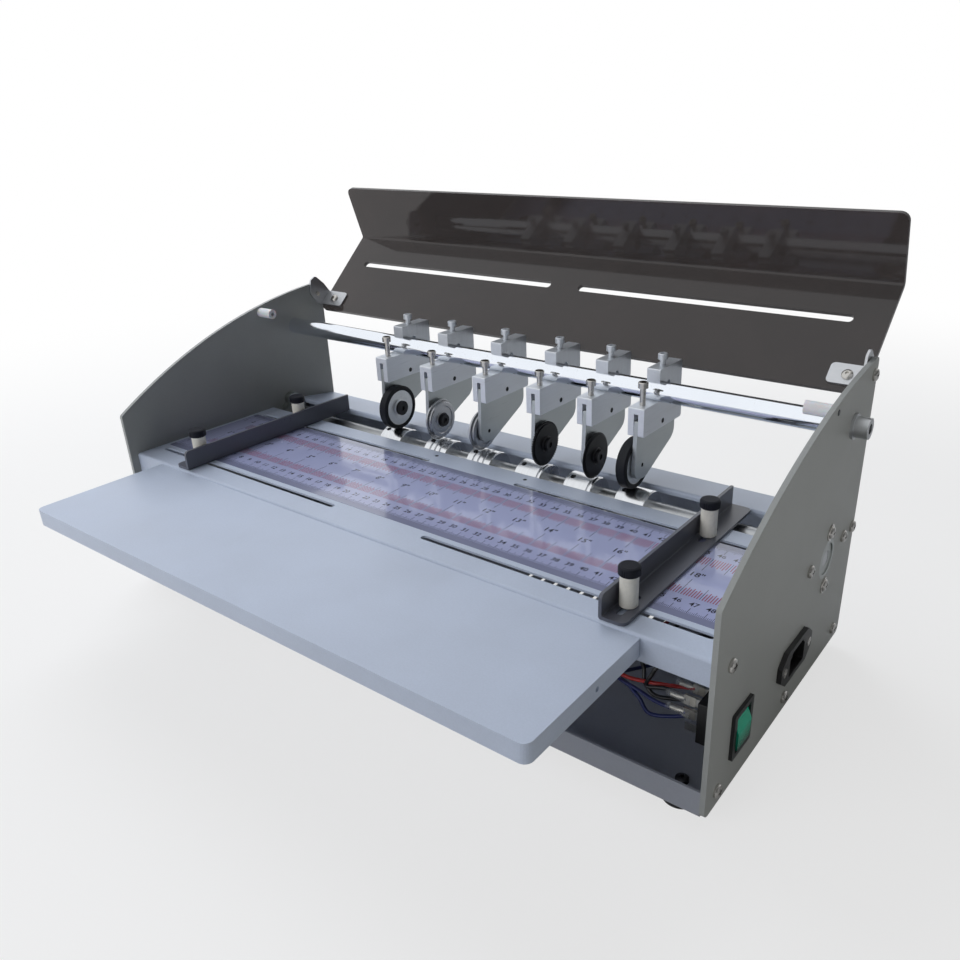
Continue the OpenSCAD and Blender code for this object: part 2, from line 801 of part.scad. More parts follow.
// A round lead swept along its course; its ends are square to it
module lead(route, ref) {
  p = spline(route, 3);
  n = len(p);
  s = lead_sides;
  rings = [for (i = [0:n-1])
    let (
      t = unit(p[min(i+1, n-1)] - p[max(i-1, 0)]),
      u = unit(cross(t, ref)),
      w = cross(t, u)
    ) for (k = [0:s-1]) p[i] + lead_r*(cos(360*k/s)*u + sin(360*k/s)*w)];
  polyhedron(
    points = rings,
    faces = concat(
      [[for (k = [s-1:-1:0]) k]],
      [for (i = [0:n-2], k = [0:s-1])
        [i*s + k, i*s + (k+1)%s, (i+1)*s + (k+1)%s, (i+1)*s + k]],
      [[for (k = [0:s-1]) (n-1)*s + k]]),
    convexity = 6);
}

// Leads from the inlet to the switch and from the switch to the motor
tab_x = outer - switch_body_l - 9;
inlet_tab_x = half - 24;
motor_end_x = bracket_x + bracket_t + motor_len + 2;
function tab_at(i) = [tab_x, switch_at[0] + switch_tabs[i][0], switch_at[1] + switch_tabs[i][1]];
function inlet_tab_at(a, b) = [inlet_tab_x, inlet_at[0] + a, inlet_at[1] + b];
module switch_leads() {
  side = [0, 0, 1];
  motor_end = [motor_end_x, motor_y, motor_z];
  inlet_pos = inlet_tab_at(7, -1.5);
  inlet_neg = inlet_tab_at(-7, -1.5);
  color("firebrick")
    lead([tab_at(5), tab_at(5) + [-12, 0, 0], [200, 66, 60], [204, 120, 66], [202, 180, 60], [176, 197, 30],
      [60, 200, 20], [-90, 200, 20], [-140, 186, 30], motor_end + [14, 0, 5], motor_end + [0, 0, 5]], side);
  color("navy")
    lead([tab_at(3), tab_at(3) + [-12, 0, 0], [202, 60, 28], [206, 110, 20], [200, 170, 20], [170, 192, 17],
      [60, 195, 16], [-90, 195, 16], [-140, 180, 22],
      motor_end + [14, 0, -5], motor_end + [0, 0, -5]], side);
  color("black") {
    lead([tab_at(4), tab_at(4) + [-12, 0, 0], [208, 62, 52], [206, 96, 54],
      [212, 132, 46], inlet_pos + [-9, 0, 0], inlet_pos], side);
    lead([tab_at(1), tab_at(1) + [-12, 0, 0], [212, 52, 44], [212, 84, 42],
      [214, 116, 42], inlet_neg + [-9, 0, 0], inlet_neg], side);
  }
}

// ---------------------------------------------------------------- hood

// The hood's own frame, placed at its pivots and swung open
module on_pivot() {
  translate([0, pivot_y, pivot_z])
    rotate([hood_open, 0, 0])
      children();
}

// One sheet in three stretches: long panel, bend and short panel
hood_corner_r = 6;
module hood() {
  w = hood_w / 2;
  c = hood_corner_r;
  arc = [for (i = [0:8]) [sin(hood_bend*i/8), -cos(hood_bend*i/8)]];
  tip = hood_short - hood_bend_r*tan(hood_bend/2);
  color("dimgray", 0.6)
    on_pivot()
      union() {
        translate([0, 0, -hood_drop - hood_t])
          linear_extrude(hood_t)
            difference() {
              polygon(rounded(
                [[-w, -hood_heel], [w, -hood_heel], [w, knee_mid[0]], [-w, knee_mid[0]]], [c, c, 0, 0]));
              for (s = [-1, 1]) {
                key_slot(s);
                translate([s*(w - hinge_hole_in), hinge_hole_y]) circle(r = m4_r, $fn = 24);
              }
            }
        translate([0, knee_mid[0], knee_mid[1]]) {
          across(-w, w)
            polygon(concat(
              [for (p = arc) hood_bend_r*p],
              [for (i = [8:-1:0]) (hood_bend_r + hood_t)*arc[i]]));
          rotate([hood_bend, 0, 0])
            translate([0, 0, -hood_bend_r - hood_t])
              linear_extrude(hood_t)
                polygon(rounded([[-w, 0], [w, 0], [w, tip], [-w, tip]], [0, 0, c, c]));
        }
      }
}

// Slot that a hex key goes through to the pressure screws
module key_slot(s) {
  r = hood_slot_w / 2;
  x0 = s > 0 ? hood_slot_x[0] : -hood_slot_x[1];
  for (x = hood_slot_x) translate([s*x, hood_slot_y]) circle(r = r, $fn = 32);
  translate([x0, hood_slot_y - r]) square([hood_slot_x[1] - hood_slot_x[0], 2*r]);
}

// Zinc hinge brackets: an ear on the pivot screw and a tab under the hood
ear_t = 1.5;
ear_x = hood_w/2 + 0.5;
hinge_hole_y = 3;
hinge_hole_in = 12.5;
hinge_tab = [25, 15];
module hood_hinges() {
  t = ear_t;
  z = -hood_drop;
  color("silver")
    for (s = [0, 1])
      mirror([s, 0, 0])
        on_pivot()
          difference() {
            union() {
              across(ear_x, ear_x + t)
                polygon(rounded([
                  [-4, z], [11, z], [12, 0], [10.5, 12], [4, 13.5], [-5, 6], [-6, -6]],
                  [0, 0, 4, 3, 3, 4, 3]));
              translate([ear_x - hinge_tab[0], -4, z])
                linear_extrude(t)
                  polygon(rounded([
                    [0, 0], [hinge_tab[0] + t, 0], [hinge_tab[0] + t, hinge_tab[1]], [0, hinge_tab[1]]],
                    [3, 0, 0, 3]));
            }
            rod(ear_x - cut, ear_x + t + cut, screw_r + run, $fn = 24);
            translate([hood_w/2 - hinge_hole_in, hinge_hole_y, z - cut]) cylinder(r = m4_r, h = t + 2*cut, $fn = 24);
          }
}

// ---------------------------------------------------------------- side guides

// What a rounded corner takes off a plate, in the first quarter around the origin
module corner_cut(r, h) {
  difference() {
    cube([r + cut, r + cut, h]);
    translate([0, 0, -cut]) cylinder(r = r, h = h + 2*cut, $fn = 48);
  }
}

// An L of folded sheet: the wall guides the paper, the flange lies on the deck
module guide() {
  x0 = -8;
  t = guide_t;
  z = deck_z;
  y1 = guide_y0 + guide_l;
  color("darkslategray")
    difference() {
      union() {
        translate([0, guide_y0, z])
          rotate([90, 0, 0]) mirror([0, 0, 1])
            linear_extrude(guide_l)
              polygon(rounded([
                [x0, 0], [x0 + guide_w, 0], [x0 + guide_w, t],
                [x0 + t, t], [x0 + t, guide_h], [x0, guide_h]],
                [1.5, 0, 0, 0.5, 0, 0]));
      }
      for (y = knob_y) {
        for (d = [-9, 9])
          translate([0, y + d, z - cut]) cylinder(r = knob_screw_r + gap, h = t + 2*cut, $fn = 32);
        block([-knob_screw_r - gap, y - 9, z - cut], [knob_screw_r + gap, y + 9, z + t + cut]);
      }
      translate([x0 + guide_w - 4, guide_y0 + 4, z - cut]) rotate([0, 0, -90]) corner_cut(4, t + 2*cut);
      translate([x0 + guide_w - 4, y1 - 4, z - cut]) corner_cut(4, t + 2*cut);
      translate([x0 - cut, guide_y0 + 3, z + guide_h - 3])
        rotate([90, 0, 90]) rotate([0, 0, 90]) corner_cut(3, t + 2*cut);
    }
}

module right_guide() {
  translate([guide_x, 0, 0]) guide();
}

module left_guide() {
  mirror([1, 0, 0]) right_guide();
}

module right_knob(y) {
  translate([guide_x, 0, 0]) knob(y);
}

module left_knob(y) {
  translate([-guide_x, 0, 0]) knob(y);
}

// Thumb screw: knurled cap, white sleeve, screw through the slot, nut below the deck
module knob(y) {
  z = deck_z + guide_t;
  low = deck_z - sheet_t;
  r = cap_d / 2;
  translate([0, y, 0]) {
    color("ivory")
      translate([0, 0, z])
        rotate_extrude()
          polygon([[0, 0], [sleeve_d/2 - 0.5, 0], [sleeve_d/2, 0.5],
                   [sleeve_d/2, sleeve_h + 0.2], [0, sleeve_h + 0.2]]);
    color("black")
      translate([0, 0, z + sleeve_h])
        difference() {
          rotate_extrude()
            polygon([
              [0, 0], [r - 0.6, 0], [r, 0.6], [r, cap_h - 1.2], [r - 0.5, cap_h - 0.4],
              [r - 1.5, cap_h], [0, cap_h]]);
          for (i = [0:29])
            rotate([0, 0, 12*i]) translate([r + 0.25, 0, 0.8]) cylinder(r = 0.55, h = cap_h - 2, $fn = 16);
        }
    color("silver") {
      translate([0, 0, low - 7]) cylinder(r = knob_screw_r, h = z - low + 8, $fn = 32);
      translate([0, 0, low - 4]) cylinder(r = 4.6, h = 4 - 0.1, $fn = 6);
    }
  }
}

// ---------------------------------------------------------------- tools

function wheel_x(i) = tool_x[i] + tool_side[i]*(arm_t/2 + 0.2 + wheel_w[i]/2);
function wheel_z(i) = shaft_z + roller_d/2 + nip + wheel_r[i];

// Socket cap screw: tip at z = 0, head bottom at z = l
module cap_screw(l, tip_r = m4_r) {
  difference() {
    union() {
      cylinder(r = tip_r, h = 3, $fn = 32);
      translate([0, 0, 1]) cylinder(r = m4_r, h = l - 0.5, $fn = 32);
      translate([0, 0, l])
        rotate_extrude($fn = 32)
          polygon([[0, 0], [m4_head_r, 0], [m4_head_r, m4_head_h - 0.5],
                   [m4_head_r - 0.5, m4_head_h], [0, m4_head_h]]);
    }
    translate([0, 0, l + m4_head_h - 2.2]) cylinder(r = hex_r, h = 3, $fn = 6);
  }
}

// Tool block: saddle for the bar, channel for the arm and the arm's pivot pin
module tool_block(i) {
  w = block_w / 2;
  c = arm_t/2 + 0.12;
  color("gainsboro")
    translate([tool_x[i], 0, 0])
      union() {
        difference() {
          across(-w, w)
            polygon(rounded(box2(block_y0, block_y1, block_z0, block_z1), [0.8, 2, 0.8, 0.8]));
          block([-c, block_y0 - cut, block_z0 - cut], [c, block_y1 - 6, slot_roof]);
          rod(-w - cut, w + cut, bar_r + run, bar_y, bar_z);
          translate([0, press_y, arm_top - 0.5]) cylinder(r = m4_r + run, h = 12, $fn = 32);
          translate([0, jaw_screw_y, slot_roof - 1]) cylinder(r = m4_r + run, h = 8, $fn = 32);
          for (s = [-1, 1])
            rod(s > 0 ? w - 0.8 : -w - cut, s > 0 ? w + cut : 0.8 - w, arm_pin_r + 0.3,
                arm_pivot[0], arm_pivot[1], $fn = 32);
        }
        rod(-w + 0.4, w - 0.4, arm_pin_r, arm_pivot[0], arm_pivot[1], $fn = 32);
      }
}

// Clamp jaw: hooks over the bar from behind, drawn down by its own cap screw
module clamp_jaw(i) {
  w = jaw_w / 2;
  color("silver")
    translate([tool_x[i], 0, 0])
      difference() {
        union() {
          across(-w, w)
            polygon(rounded([
              [jaw_y0, jaw_z0], [jaw_leg_y, jaw_z0], [jaw_leg_y, block_z1], [jaw_y1, block_z1],
              [jaw_y1, jaw_z1], [jaw_y0, jaw_z1]], [0.4, 1, 0, 0.8, 0.8, 0.8]));
          translate([0, jaw_screw_y, slot_roof + 0.5])
            cap_screw(jaw_z1 - slot_roof + 3.5);
        }
        rod(-w - cut, w + cut, bar_r + run, bar_y, bar_z);
        for (s = [0, 1])
          mirror([s, 0, 0]) rod(w - 2.5, w + cut, 2.4, jaw_screw_y, jaw_z0, $fn = 32);
      }
}

// Arm plate in the block's channel, with the wheel's axle bolt fixed through it
module tool_arm(i) {
  t = arm_t / 2;
  s = tool_side[i];
  z = wheel_z(i);
  far = t + 0.2 + wheel_w[i] + 0.2;
  color("lightgray")
    translate([tool_x[i], 0, 0])
      difference() {
        union() {
          across(-t, t)
            polygon(rounded([
              [block_y0 + 0.6, arm_top], [shaft_y - 10.5, deck_z + 11], [shaft_y + 5, deck_z + 9.5],
              [arm_tail, deck_z + 29], [arm_tail, block_z0 - gap], [arm_y1, block_z0 - gap],
              [arm_y1, arm_pivot[1] - 1], [arm_y1 - 10.5, arm_top]],
              [1, 8, 10, 9, 1, 0.5, 3, 3], 8));
          mirror([s > 0 ? 0 : 1, 0, 0])
            translate([0, shaft_y, z]) {
              rod(0, far + 0.5, axle_r, $fn = 32);
              difference() {
                rod(far, far + axle_head_h, axle_head_r[i], $fn = 32);
                rod(far + 1, far + axle_head_h + cut, hex_r + 0.5, $fn = 6);
              }
            }
        }
        rod(-t - cut, t + cut, arm_pin_r + run, arm_pivot[0], arm_pivot[1], $fn = 32);
        mirror([s > 0 ? 0 : 1, 0, 0]) rod(-t - cut, -t + 1, 1.3, shaft_y, z, $fn = 6);
      }
}

module pressure_screw(i) {
  color("silver")
    translate([tool_x[i], press_y, arm_top + 0.25])
      cap_screw(press_len[i], 1);
}

// A wheel from its half section, [distance along the axle, radius]
module wheel_from(i, section) {
  color("silver")
    translate([wheel_x(i), shaft_y, wheel_z(i)])
      rotate([0, 90, 0])
        rotate_extrude($fn = 96)
          polygon([for (p = section) [p[1], p[0]]]);
}

// Rubber-tyred wheel that pulls the paper through
module drive_wheel(i) {
  h = wheel_w[i] / 2;
  r = tyre_r;
  b = axle_r + run;
  wheel_from(i, [
    [-h, b], [-h, 6], [-h + 0.8, 7], [-h + 0.8, r - 4], [-h, r - 3], [-h, r - 1], [-h + 1, r],
    [h - 1, r], [h, r - 1], [h, r - 3], [h - 0.8, r - 4], [h - 0.8, 7], [h, 6], [h, b]]);
}

// Creasing wheel with the rounded ridge that presses the fold line
module crease_wheel(i) {
  h = wheel_w[i] / 2;
  r = crease_r;
  b = axle_r + run;
  wheel_from(i, [
    [-h, b], [-h, r - 2.4], [-h + 0.6, r - 1.6], [-0.9, r - 1.6], [-0.6, r - 0.4], [-0.25, r],
    [0.25, r], [0.6, r - 0.4], [0.9, r - 1.6], [h - 0.6, r - 1.6], [h, r - 2.4],
    [h, r - 5], [h - 0.7, r - 5.6], [h - 0.7, 7], [h, 6.4], [h, b]]);
}

// Perforating wheel: a toothed blade between two black cheeks
module perf_wheel(i) {
  h = wheel_w[i] / 2;
  b = axle_r + run;
  n = perf_teeth;
  color("black")
    translate([wheel_x(i), shaft_y, wheel_z(i)])
      rotate([0, 90, 0])
        difference() {
          union() {
            translate([0, 0, -0.6])
              linear_extrude(1.2)
                polygon([for (k = [0:n-1]) each [
                  (perf_r - 1.3)*[cos(360*k/n), sin(360*k/n)],
                  perf_r*[cos(360*(k + 0.3)/n), sin(360*(k + 0.3)/n)],
                  perf_r*[cos(360*(k + 0.7)/n), sin(360*(k + 0.7)/n)]]]);
            wheel_cheeks(h, perf_r - 2);
          }
          translate([0, 0, -h - cut]) cylinder(r = b, h = 2*h + 2*cut, $fn = 32);
        }
}

module wheel_cheeks(h, r) {
  rotate_extrude($fn = 64)
    polygon([[0, -h], [5.5, -h], [6.2, -h + 1], [r - 3, -h + 1.2], [r, -1.2], [r, 1.2],
      [r - 3, h - 1.2], [6.2, h - 1], [5.5, h], [0, h]]);
}

// Slitting wheel: a plain bevelled blade between the same cheeks
module slit_wheel(i) {
  h = wheel_w[i] / 2;
  b = axle_r + run;
  r = perf_r;
  color("black")
    translate([wheel_x(i), shaft_y, wheel_z(i)])
      rotate([0, 90, 0])
        difference() {
          union() {
            rotate_extrude($fn = 96)
              polygon([[0, -0.9], [r - 1.6, -0.9], [r, -0.15], [r, 0.15], [r - 1.6, 0.9], [0, 0.9]]);
            wheel_cheeks(h, r - 2);
          }
          translate([0, 0, -h - cut]) cylinder(r = b, h = 2*h + 2*cut, $fn = 32);
        }
}

// ---------------------------------------------------------------- nodes

centred() base_pan();
centred() left_side_plate();
centred() right_side_plate();
centred() deck();
centred() feed_table();
centred() rear_panel();
centred() tool_bar();
centred() bar_screws();
centred() stop_pins();
centred() plate_screws();
centred() shaft_bearings();
centred() rubber_feet();
centred() power_inlet();
centred() switch_housing();
centred() switch_rocker();
centred() hood();
centred() hood_hinges();
centred() drive_shaft();
centred() shaft_rollers();
centred() shaft_gear();
centred() motor_pinion();
centred() gear_motor();
centred() motor_bracket();
centred() left_guide();
centred() right_guide();
centred() left_knob(knob_y[0]);  // left_front_knob
centred() left_knob(knob_y[1]);  // left_rear_knob
centred() right_knob(knob_y[0]);  // right_front_knob
centred() right_knob(knob_y[1]);  // right_rear_knob
centred() switch_leads();
centred() tool_block(0);  // tool_block_1
centred() clamp_jaw(0);  // clamp_jaw_1
centred() tool_arm(0);  // tool_arm_1
centred() pressure_screw(0);  // pressure_screw_1
centred() drive_wheel(0);  // drive_wheel_1
centred() tool_block(1);  // tool_block_2
centred() clamp_jaw(1);  // clamp_jaw_2
centred() tool_arm(1);  // tool_arm_2
centred() pressure_screw(1);  // pressure_screw_2
centred() crease_wheel(1);  // crease_wheel_2
centred() tool_block(2);  // tool_block_3
centred() clamp_jaw(2);  // clamp_jaw_3
centred() tool_arm(2);  // tool_arm_3
centred() pressure_screw(2);  // pressure_screw_3
centred() crease_wheel(2);  // crease_wheel_3
centred() tool_block(3);  // tool_block_4
centred() clamp_jaw(3);  // clamp_jaw_4
centred() tool_arm(3);  // tool_arm_4
centred() pressure_screw(3);  // pressure_screw_4
centred() perf_wheel(3);  // perf_wheel_4
centred() tool_block(4);  // tool_block_5
centred() clamp_jaw(4);  // clamp_jaw_5
centred() tool_arm(4);  // tool_arm_5
centred() pressure_screw(4);  // pressure_screw_5
centred() slit_wheel(4);  // slit_wheel_5
centred() tool_block(5);  // tool_block_6
centred() clamp_jaw(5);  // clamp_jaw_6
centred() tool_arm(5);  // tool_arm_6
centred() pressure_screw(5);  // pressure_screw_6
centred() drive_wheel(5);  // drive_wheel_6
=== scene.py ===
"""Finishes and fine pieces of a desktop creasing machine, built around its fixed frame.

Sizes are in metres, or in millimetres where a name ends in _mm. +X runs along the shafts to the
operator's right, +Y points away from the operator and +Z up. Plan places are measured in
millimetres from the middle of the machine and from the front edge of its side plates.
"""

import bpy
import numpy as np
from bpy.props import FloatProperty, FloatVectorProperty, IntProperty, PointerProperty
from mathutils import Matrix, Vector


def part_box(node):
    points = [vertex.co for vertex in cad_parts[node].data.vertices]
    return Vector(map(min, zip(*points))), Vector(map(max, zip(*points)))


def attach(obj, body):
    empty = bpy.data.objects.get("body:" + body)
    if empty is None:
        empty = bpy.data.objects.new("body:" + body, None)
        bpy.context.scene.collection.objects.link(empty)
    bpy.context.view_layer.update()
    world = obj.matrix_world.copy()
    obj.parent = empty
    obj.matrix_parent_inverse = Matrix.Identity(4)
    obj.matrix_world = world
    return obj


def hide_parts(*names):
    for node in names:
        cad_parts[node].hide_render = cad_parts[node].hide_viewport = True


bl_info = {
    "name": "Desktop creasing machine",
    "version": (1, 0, 0),
    "blender": (4, 5, 0),
    "location": "View3D > Sidebar > Creaser",
    "description": "Paints and details a desktop creasing machine around its fixed frame",
    "category": "Object",
}

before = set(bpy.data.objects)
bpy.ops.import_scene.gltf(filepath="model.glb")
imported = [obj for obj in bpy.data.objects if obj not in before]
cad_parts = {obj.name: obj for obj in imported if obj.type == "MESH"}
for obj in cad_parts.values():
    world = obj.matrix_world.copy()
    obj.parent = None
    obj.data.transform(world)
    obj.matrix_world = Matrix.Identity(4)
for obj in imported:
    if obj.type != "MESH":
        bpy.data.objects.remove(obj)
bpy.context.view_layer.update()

MM = 0.001
FAR_MM = 1000.0  # beyond the machine: a mask's reach along an axis that doesn't bound it
UP = (0, 0, 1)
FRONT_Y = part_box("left_side_plate")[0].y
OUTER_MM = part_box("right_side_plate")[1].x / MM
HALF_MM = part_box("right_side_plate")[0].x / MM
DECK_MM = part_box("deck")[1].z / MM
SHAFT_MM = (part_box("drive_shaft")[0].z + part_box("drive_shaft")[1].z) / 2 / MM
SHAFT_Y_MM = 162.0
PIN_MM = (180.5, 152.5)
PIVOT_MM = (208.0, 197.5)
HOOD_OPEN = np.radians(42.0)
SWITCH_MM = (39.0, 45.5)
INLET_MM = (117.0, 46.0)
MOTOR_END_MM = -173.0
MOTOR_TAB_Z_MM = 51.5
MOTOR_SHAFT_MM = SHAFT_MM - 22.0
M4_RADIUS_MM = 1.9
TOOL_X_MM = (-115.0, -66.5, -13.0, 37.0, 80.5, 121.0)
WHEELS = ("drive_wheel_1", "crease_wheel_2", "crease_wheel_3", "perf_wheel_4",
          "slit_wheel_5", "drive_wheel_6")


def placed(points_mm):
    """Metres in the machine's frame from millimetres measured from the side plates' front edge."""
    points = np.asarray(points_mm, float) * MM
    points[..., 1] += FRONT_Y
    return points


def spot(x, y, z):
    """One placed point as a tuple, for a shader socket."""
    return tuple(float(v) for v in placed([x, y, z]))


# ------------------------------------------------------------------ settings


def colour(name, description, default):
    return FloatVectorProperty(name=name, description=description, default=default, size=3,
                               min=0.0, max=1.0, subtype="COLOR")


class CREASER_PG_paint(bpy.types.PropertyGroup):
    """Powder coats of the sheet-metal parts."""
    deck: colour("Deck", "Coat of the deck, feed table and rear panel", (0.49, 0.55, 0.67))
    plates: colour("Side plates", "Coat of the side plates", (0.335, 0.345, 0.335))
    pan: colour("Base pan", "Coat of the base pan", (0.31, 0.325, 0.37))
    guides: colour("Side guides", "Coat of the two side guides", (0.095, 0.10, 0.125))
    grain: FloatProperty(name="Grain", description="Width of the coat's smallest bumps",
                         default=0.0011, min=0.0003, max=0.004, unit="LENGTH")


class CREASER_PG_hood(bpy.types.PropertyGroup):
    """The smoked cover."""
    tint: colour("Tint", "Colour of the smoked sheet", (0.032, 0.022, 0.020))
    opacity: FloatProperty(name="Opacity", description="How much one face of the sheet holds back",
                           default=0.88, min=0.0, max=1.0, subtype="FACTOR")


class CREASER_PG_ruler(bpy.types.PropertyGroup):
    """The printed rule on the deck."""
    paper: colour("Ground", "Colour of the rule's printed ground", (0.40, 0.43, 0.66))
    red: colour("Red ink", "Ink of the sixteenths", (0.32, 0.055, 0.10))
    dark: colour("Dark ink", "Ink of the centimetres and of the figures", (0.025, 0.025, 0.045))
    last_cm: IntProperty(name="Last figure", description="Last centimetre that is numbered",
                         default=48, min=10, max=49)
    figure: FloatProperty(name="Figure height", description="Height of the centimetre figures",
                          default=0.0040, min=0.002, max=0.006, unit="LENGTH")
    film: FloatProperty(name="Film", description="Thickness of the printed film",
                        default=0.00012, min=0.00005, max=0.0005, unit="LENGTH")


class CREASER_PG_leads(bpy.types.PropertyGroup):
    """Leads inside the body."""
    radius: FloatProperty(name="Lead radius", description="Outer radius of one insulated lead",
                          default=0.0012, min=0.0005, max=0.002, unit="LENGTH")
    live: colour("Red lead", "Insulation of the red leads", (0.55, 0.025, 0.02))
    neutral: colour("Blue lead", "Insulation of the blue leads", (0.010, 0.02, 0.13))


class CREASER_PG_studio(bpy.types.PropertyGroup):
    """Light and floor."""
    floor: colour("Floor", "Colour of the plain floor", (0.72, 0.72, 0.72))
    window: FloatProperty(name="Window", description="Power of the large light behind at the left",
                          default=22.0, min=0.0, max=200.0, unit="POWER")
    front: FloatProperty(name="Front", description="Power of the soft light in front",
                         default=12.5, min=0.0, max=200.0, unit="POWER")
    side: FloatProperty(name="Side", description="Power of the small light at the right",
                        default=1.2, min=0.0, max=200.0, unit="POWER")
    ambient: FloatProperty(name="Ambient", description="Strength of the even light from all round",
                           default=0.27, min=0.0, max=2.0)


# ------------------------------------------------------------------ shapes


def surface(points, closed_u=False, closed_v=False):
    """Points and quads of a surface given as a grid points[u, v]; either way can close on itself."""
    n, m = points.shape[:2]
    index = np.arange(n * m).reshape(n, m)
    if closed_u:
        index = np.vstack([index, index[:1]])
    if closed_v:
        index = np.hstack([index, index[:, :1]])
    quads = np.stack([index[:-1, :-1], index[1:, :-1], index[1:, 1:], index[:-1, 1:]], -1)
    return points.reshape(-1, 3), quads.reshape(-1, 4).tolist()


def with_caps(points, quads, n, m):
    """Closes a tube of n rings of m points with one flat face at each end."""
    last = (n - 1) * m
    return points, quads + [list(range(m))[::-1], list(range(last, last + m))]


def turned(profile_mm, centre_mm, axis=(1, 0, 0), sides=32, ring=False):
    """A turned shape: the profile's (along, radius) pairs swept round an axis through the centre.

    point(u, v) = centre + along(u)*axis + radius(u)*(cos v * side + sin v * up). A ring's profile
    is a closed loop that stays off the axis; any other profile is closed by its two end discs.
    """
    profile = np.asarray(profile_mm, float)
    axis = np.asarray(axis, float) / np.linalg.norm(axis)
    side = np.cross(axis, [0.0, 0.0, 1.0] if abs(axis[2]) < 0.9 else [0.0, 1.0, 0.0])
    side /= np.linalg.norm(side)
    up = np.cross(axis, side)
    angle = np.linspace(0, 2 * np.pi, sides, endpoint=False)
    round_ = np.cos(angle)[:, None] * side + np.sin(angle)[:, None] * up
    grid = (np.asarray(centre_mm, float) + profile[:, 0, None, None] * axis
            + profile[:, 1, None, None] * round_)
    points, quads = surface(grid, closed_u=ring, closed_v=True)
    if not ring:
        points, quads = with_caps(points, quads, *grid.shape[:2])
    return points, quads


def course(route, steps=8):
    """A smooth course through the route's points, one Catmull-Rom cubic for each stretch."""
    p = np.asarray(route, float)
    p = np.vstack([p[:1], p, p[-1:]])
    t = np.linspace(0, 1, steps, endpoint=False)[None, :, None]
    a, b, c, d = (p[i:len(p) - 3 + i, None] for i in range(4))
    run = 0.5 * (2 * b + (c - a) * t + (2 * a - 5 * b + 4 * c - d) * t**2
                 + (3 * b - a - 3 * c + d) * t**3)
    return np.vstack([run.reshape(-1, 3), p[-1:]])


def swept(route_mm, radius_mm, sides=12):
    """A round bar along a smooth course; each ring stands square to the course at its point."""
    line = course(route_mm)
    ahead = np.gradient(line, axis=0)
    ahead /= np.linalg.norm(ahead, axis=1)[:, None]
    side = np.cross(ahead, UP)
    side /= np.linalg.norm(side, axis=1)[:, None]
    top = np.cross(side, ahead)
    angle = np.linspace(0, 2 * np.pi, sides, endpoint=False)
    grid = line[:, None] + radius_mm * (np.cos(angle)[None, :, None] * side[:, None]
                                        + np.sin(angle)[None, :, None] * top[:, None])
    points, quads = surface(grid, closed_v=True)
    return with_caps(points, quads, *grid.shape[:2])


def plate(outline_mm, thickness_mm, origin_mm, across, along):
    """A flat plate: an outline in the plane of across and along, carried on by its thickness."""
    outline = np.asarray(outline_mm, float)
    across, along = np.asarray(across, float), np.asarray(along, float)
    flat = np.asarray(origin_mm, float) + outline[:, :1] * across + outline[:, 1:] * along
    lift = np.cross(across, along) * thickness_mm
    n = len(flat)
    ring = np.arange(n)
    sides = np.stack([ring, (ring + 1) % n, (ring + 1) % n + n, ring + n], -1).tolist()
    return np.vstack([flat, flat + lift]), sides + [ring[::-1].tolist(), (ring + n).tolist()]


def rounded_box(w, h, r, n=4):
    """Outline of a w by h rectangle round the origin with corners of radius r."""
    angle = (np.arange(4)[:, None] * 90 + np.linspace(0, 90, n + 1)) * np.pi / 180
    middle = np.array([[1, 1], [-1, 1], [-1, -1], [1, -1]]) * [w / 2 - r, h / 2 - r]
    corner = np.stack([np.cos(angle), np.sin(angle)], -1) * r
    return (middle[:, None] + corner).reshape(-1, 2)


def shank(at, out, low, high):
    """Plain rod of an M4 screw, from low to high along out."""
    return turned([(low, M4_RADIUS_MM), (high, M4_RADIUS_MM)], at, out, sides=16)


def hex_nut(at, out, height):
    """M4 nut with a small chamfer on its far face."""
    return turned([(0, 3.5), (height, 3.5), (height + 0.2, 3.2)], at, out, sides=6)


def hood_place(points):
    """Points of the hood's own frame, with the pivot at its origin, on the open hood."""
    p = np.asarray(points, float)
    c, s = np.cos(HOOD_OPEN), np.sin(HOOD_OPEN)
    y = p[..., 1] * c - p[..., 2] * s + PIVOT_MM[0]
    z = p[..., 1] * s + p[..., 2] * c + PIVOT_MM[1]
    return np.stack([p[..., 0], y, z], -1)


def put(name, data):
    """An object in the scene that holds the data."""
    made = bpy.data.objects.new(name, data)
    bpy.context.scene.collection.objects.link(made)
    return made


def piece(name, body, parts, finishes, smooth=True):
    """One object from parts, each (points_mm, faces) or (points_mm, faces, finish number)."""
    points, faces, number, start = [], [], [], 0
    for part in parts:
        points.append(part[0])
        faces += [[start + i for i in face] for face in part[1]]
        number += [part[2] if len(part) > 2 else 0] * len(part[1])
        start += len(part[0])
    mesh = bpy.data.meshes.new(name)
    mesh.from_pydata(placed(np.vstack(points)).tolist(), [], faces)
    mesh.polygons.foreach_set("material_index", number)
    if smooth:
        mesh.shade_smooth()
        mesh.set_sharp_from_angle(angle=np.radians(35))
    for finish in finishes:
        mesh.materials.append(finish)
    mesh.validate()
    made = put(name, mesh)
    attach(made, body)
    return made


def dress(finish, *nodes):
    """Gives fixed nodes a finish."""
    for name in nodes:
        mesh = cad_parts[name].data
        mesh.materials.clear()
        mesh.materials.append(finish)


# ------------------------------------------------------------------ shader parts


def feed(tree, shader, **inputs):
    """Links or sets inputs; a keyword names one, with _ for a space, or is i0, i1 for its number."""
    for key, value in inputs.items():
        numbered = key[0] == "i" and key[1:].isdigit()
        socket = shader.inputs[int(key[1:]) if numbered else key.replace("_", " ")]
        if isinstance(value, bpy.types.NodeSocket):
            tree.links.new(value, socket)
        else:
            socket.default_value = value


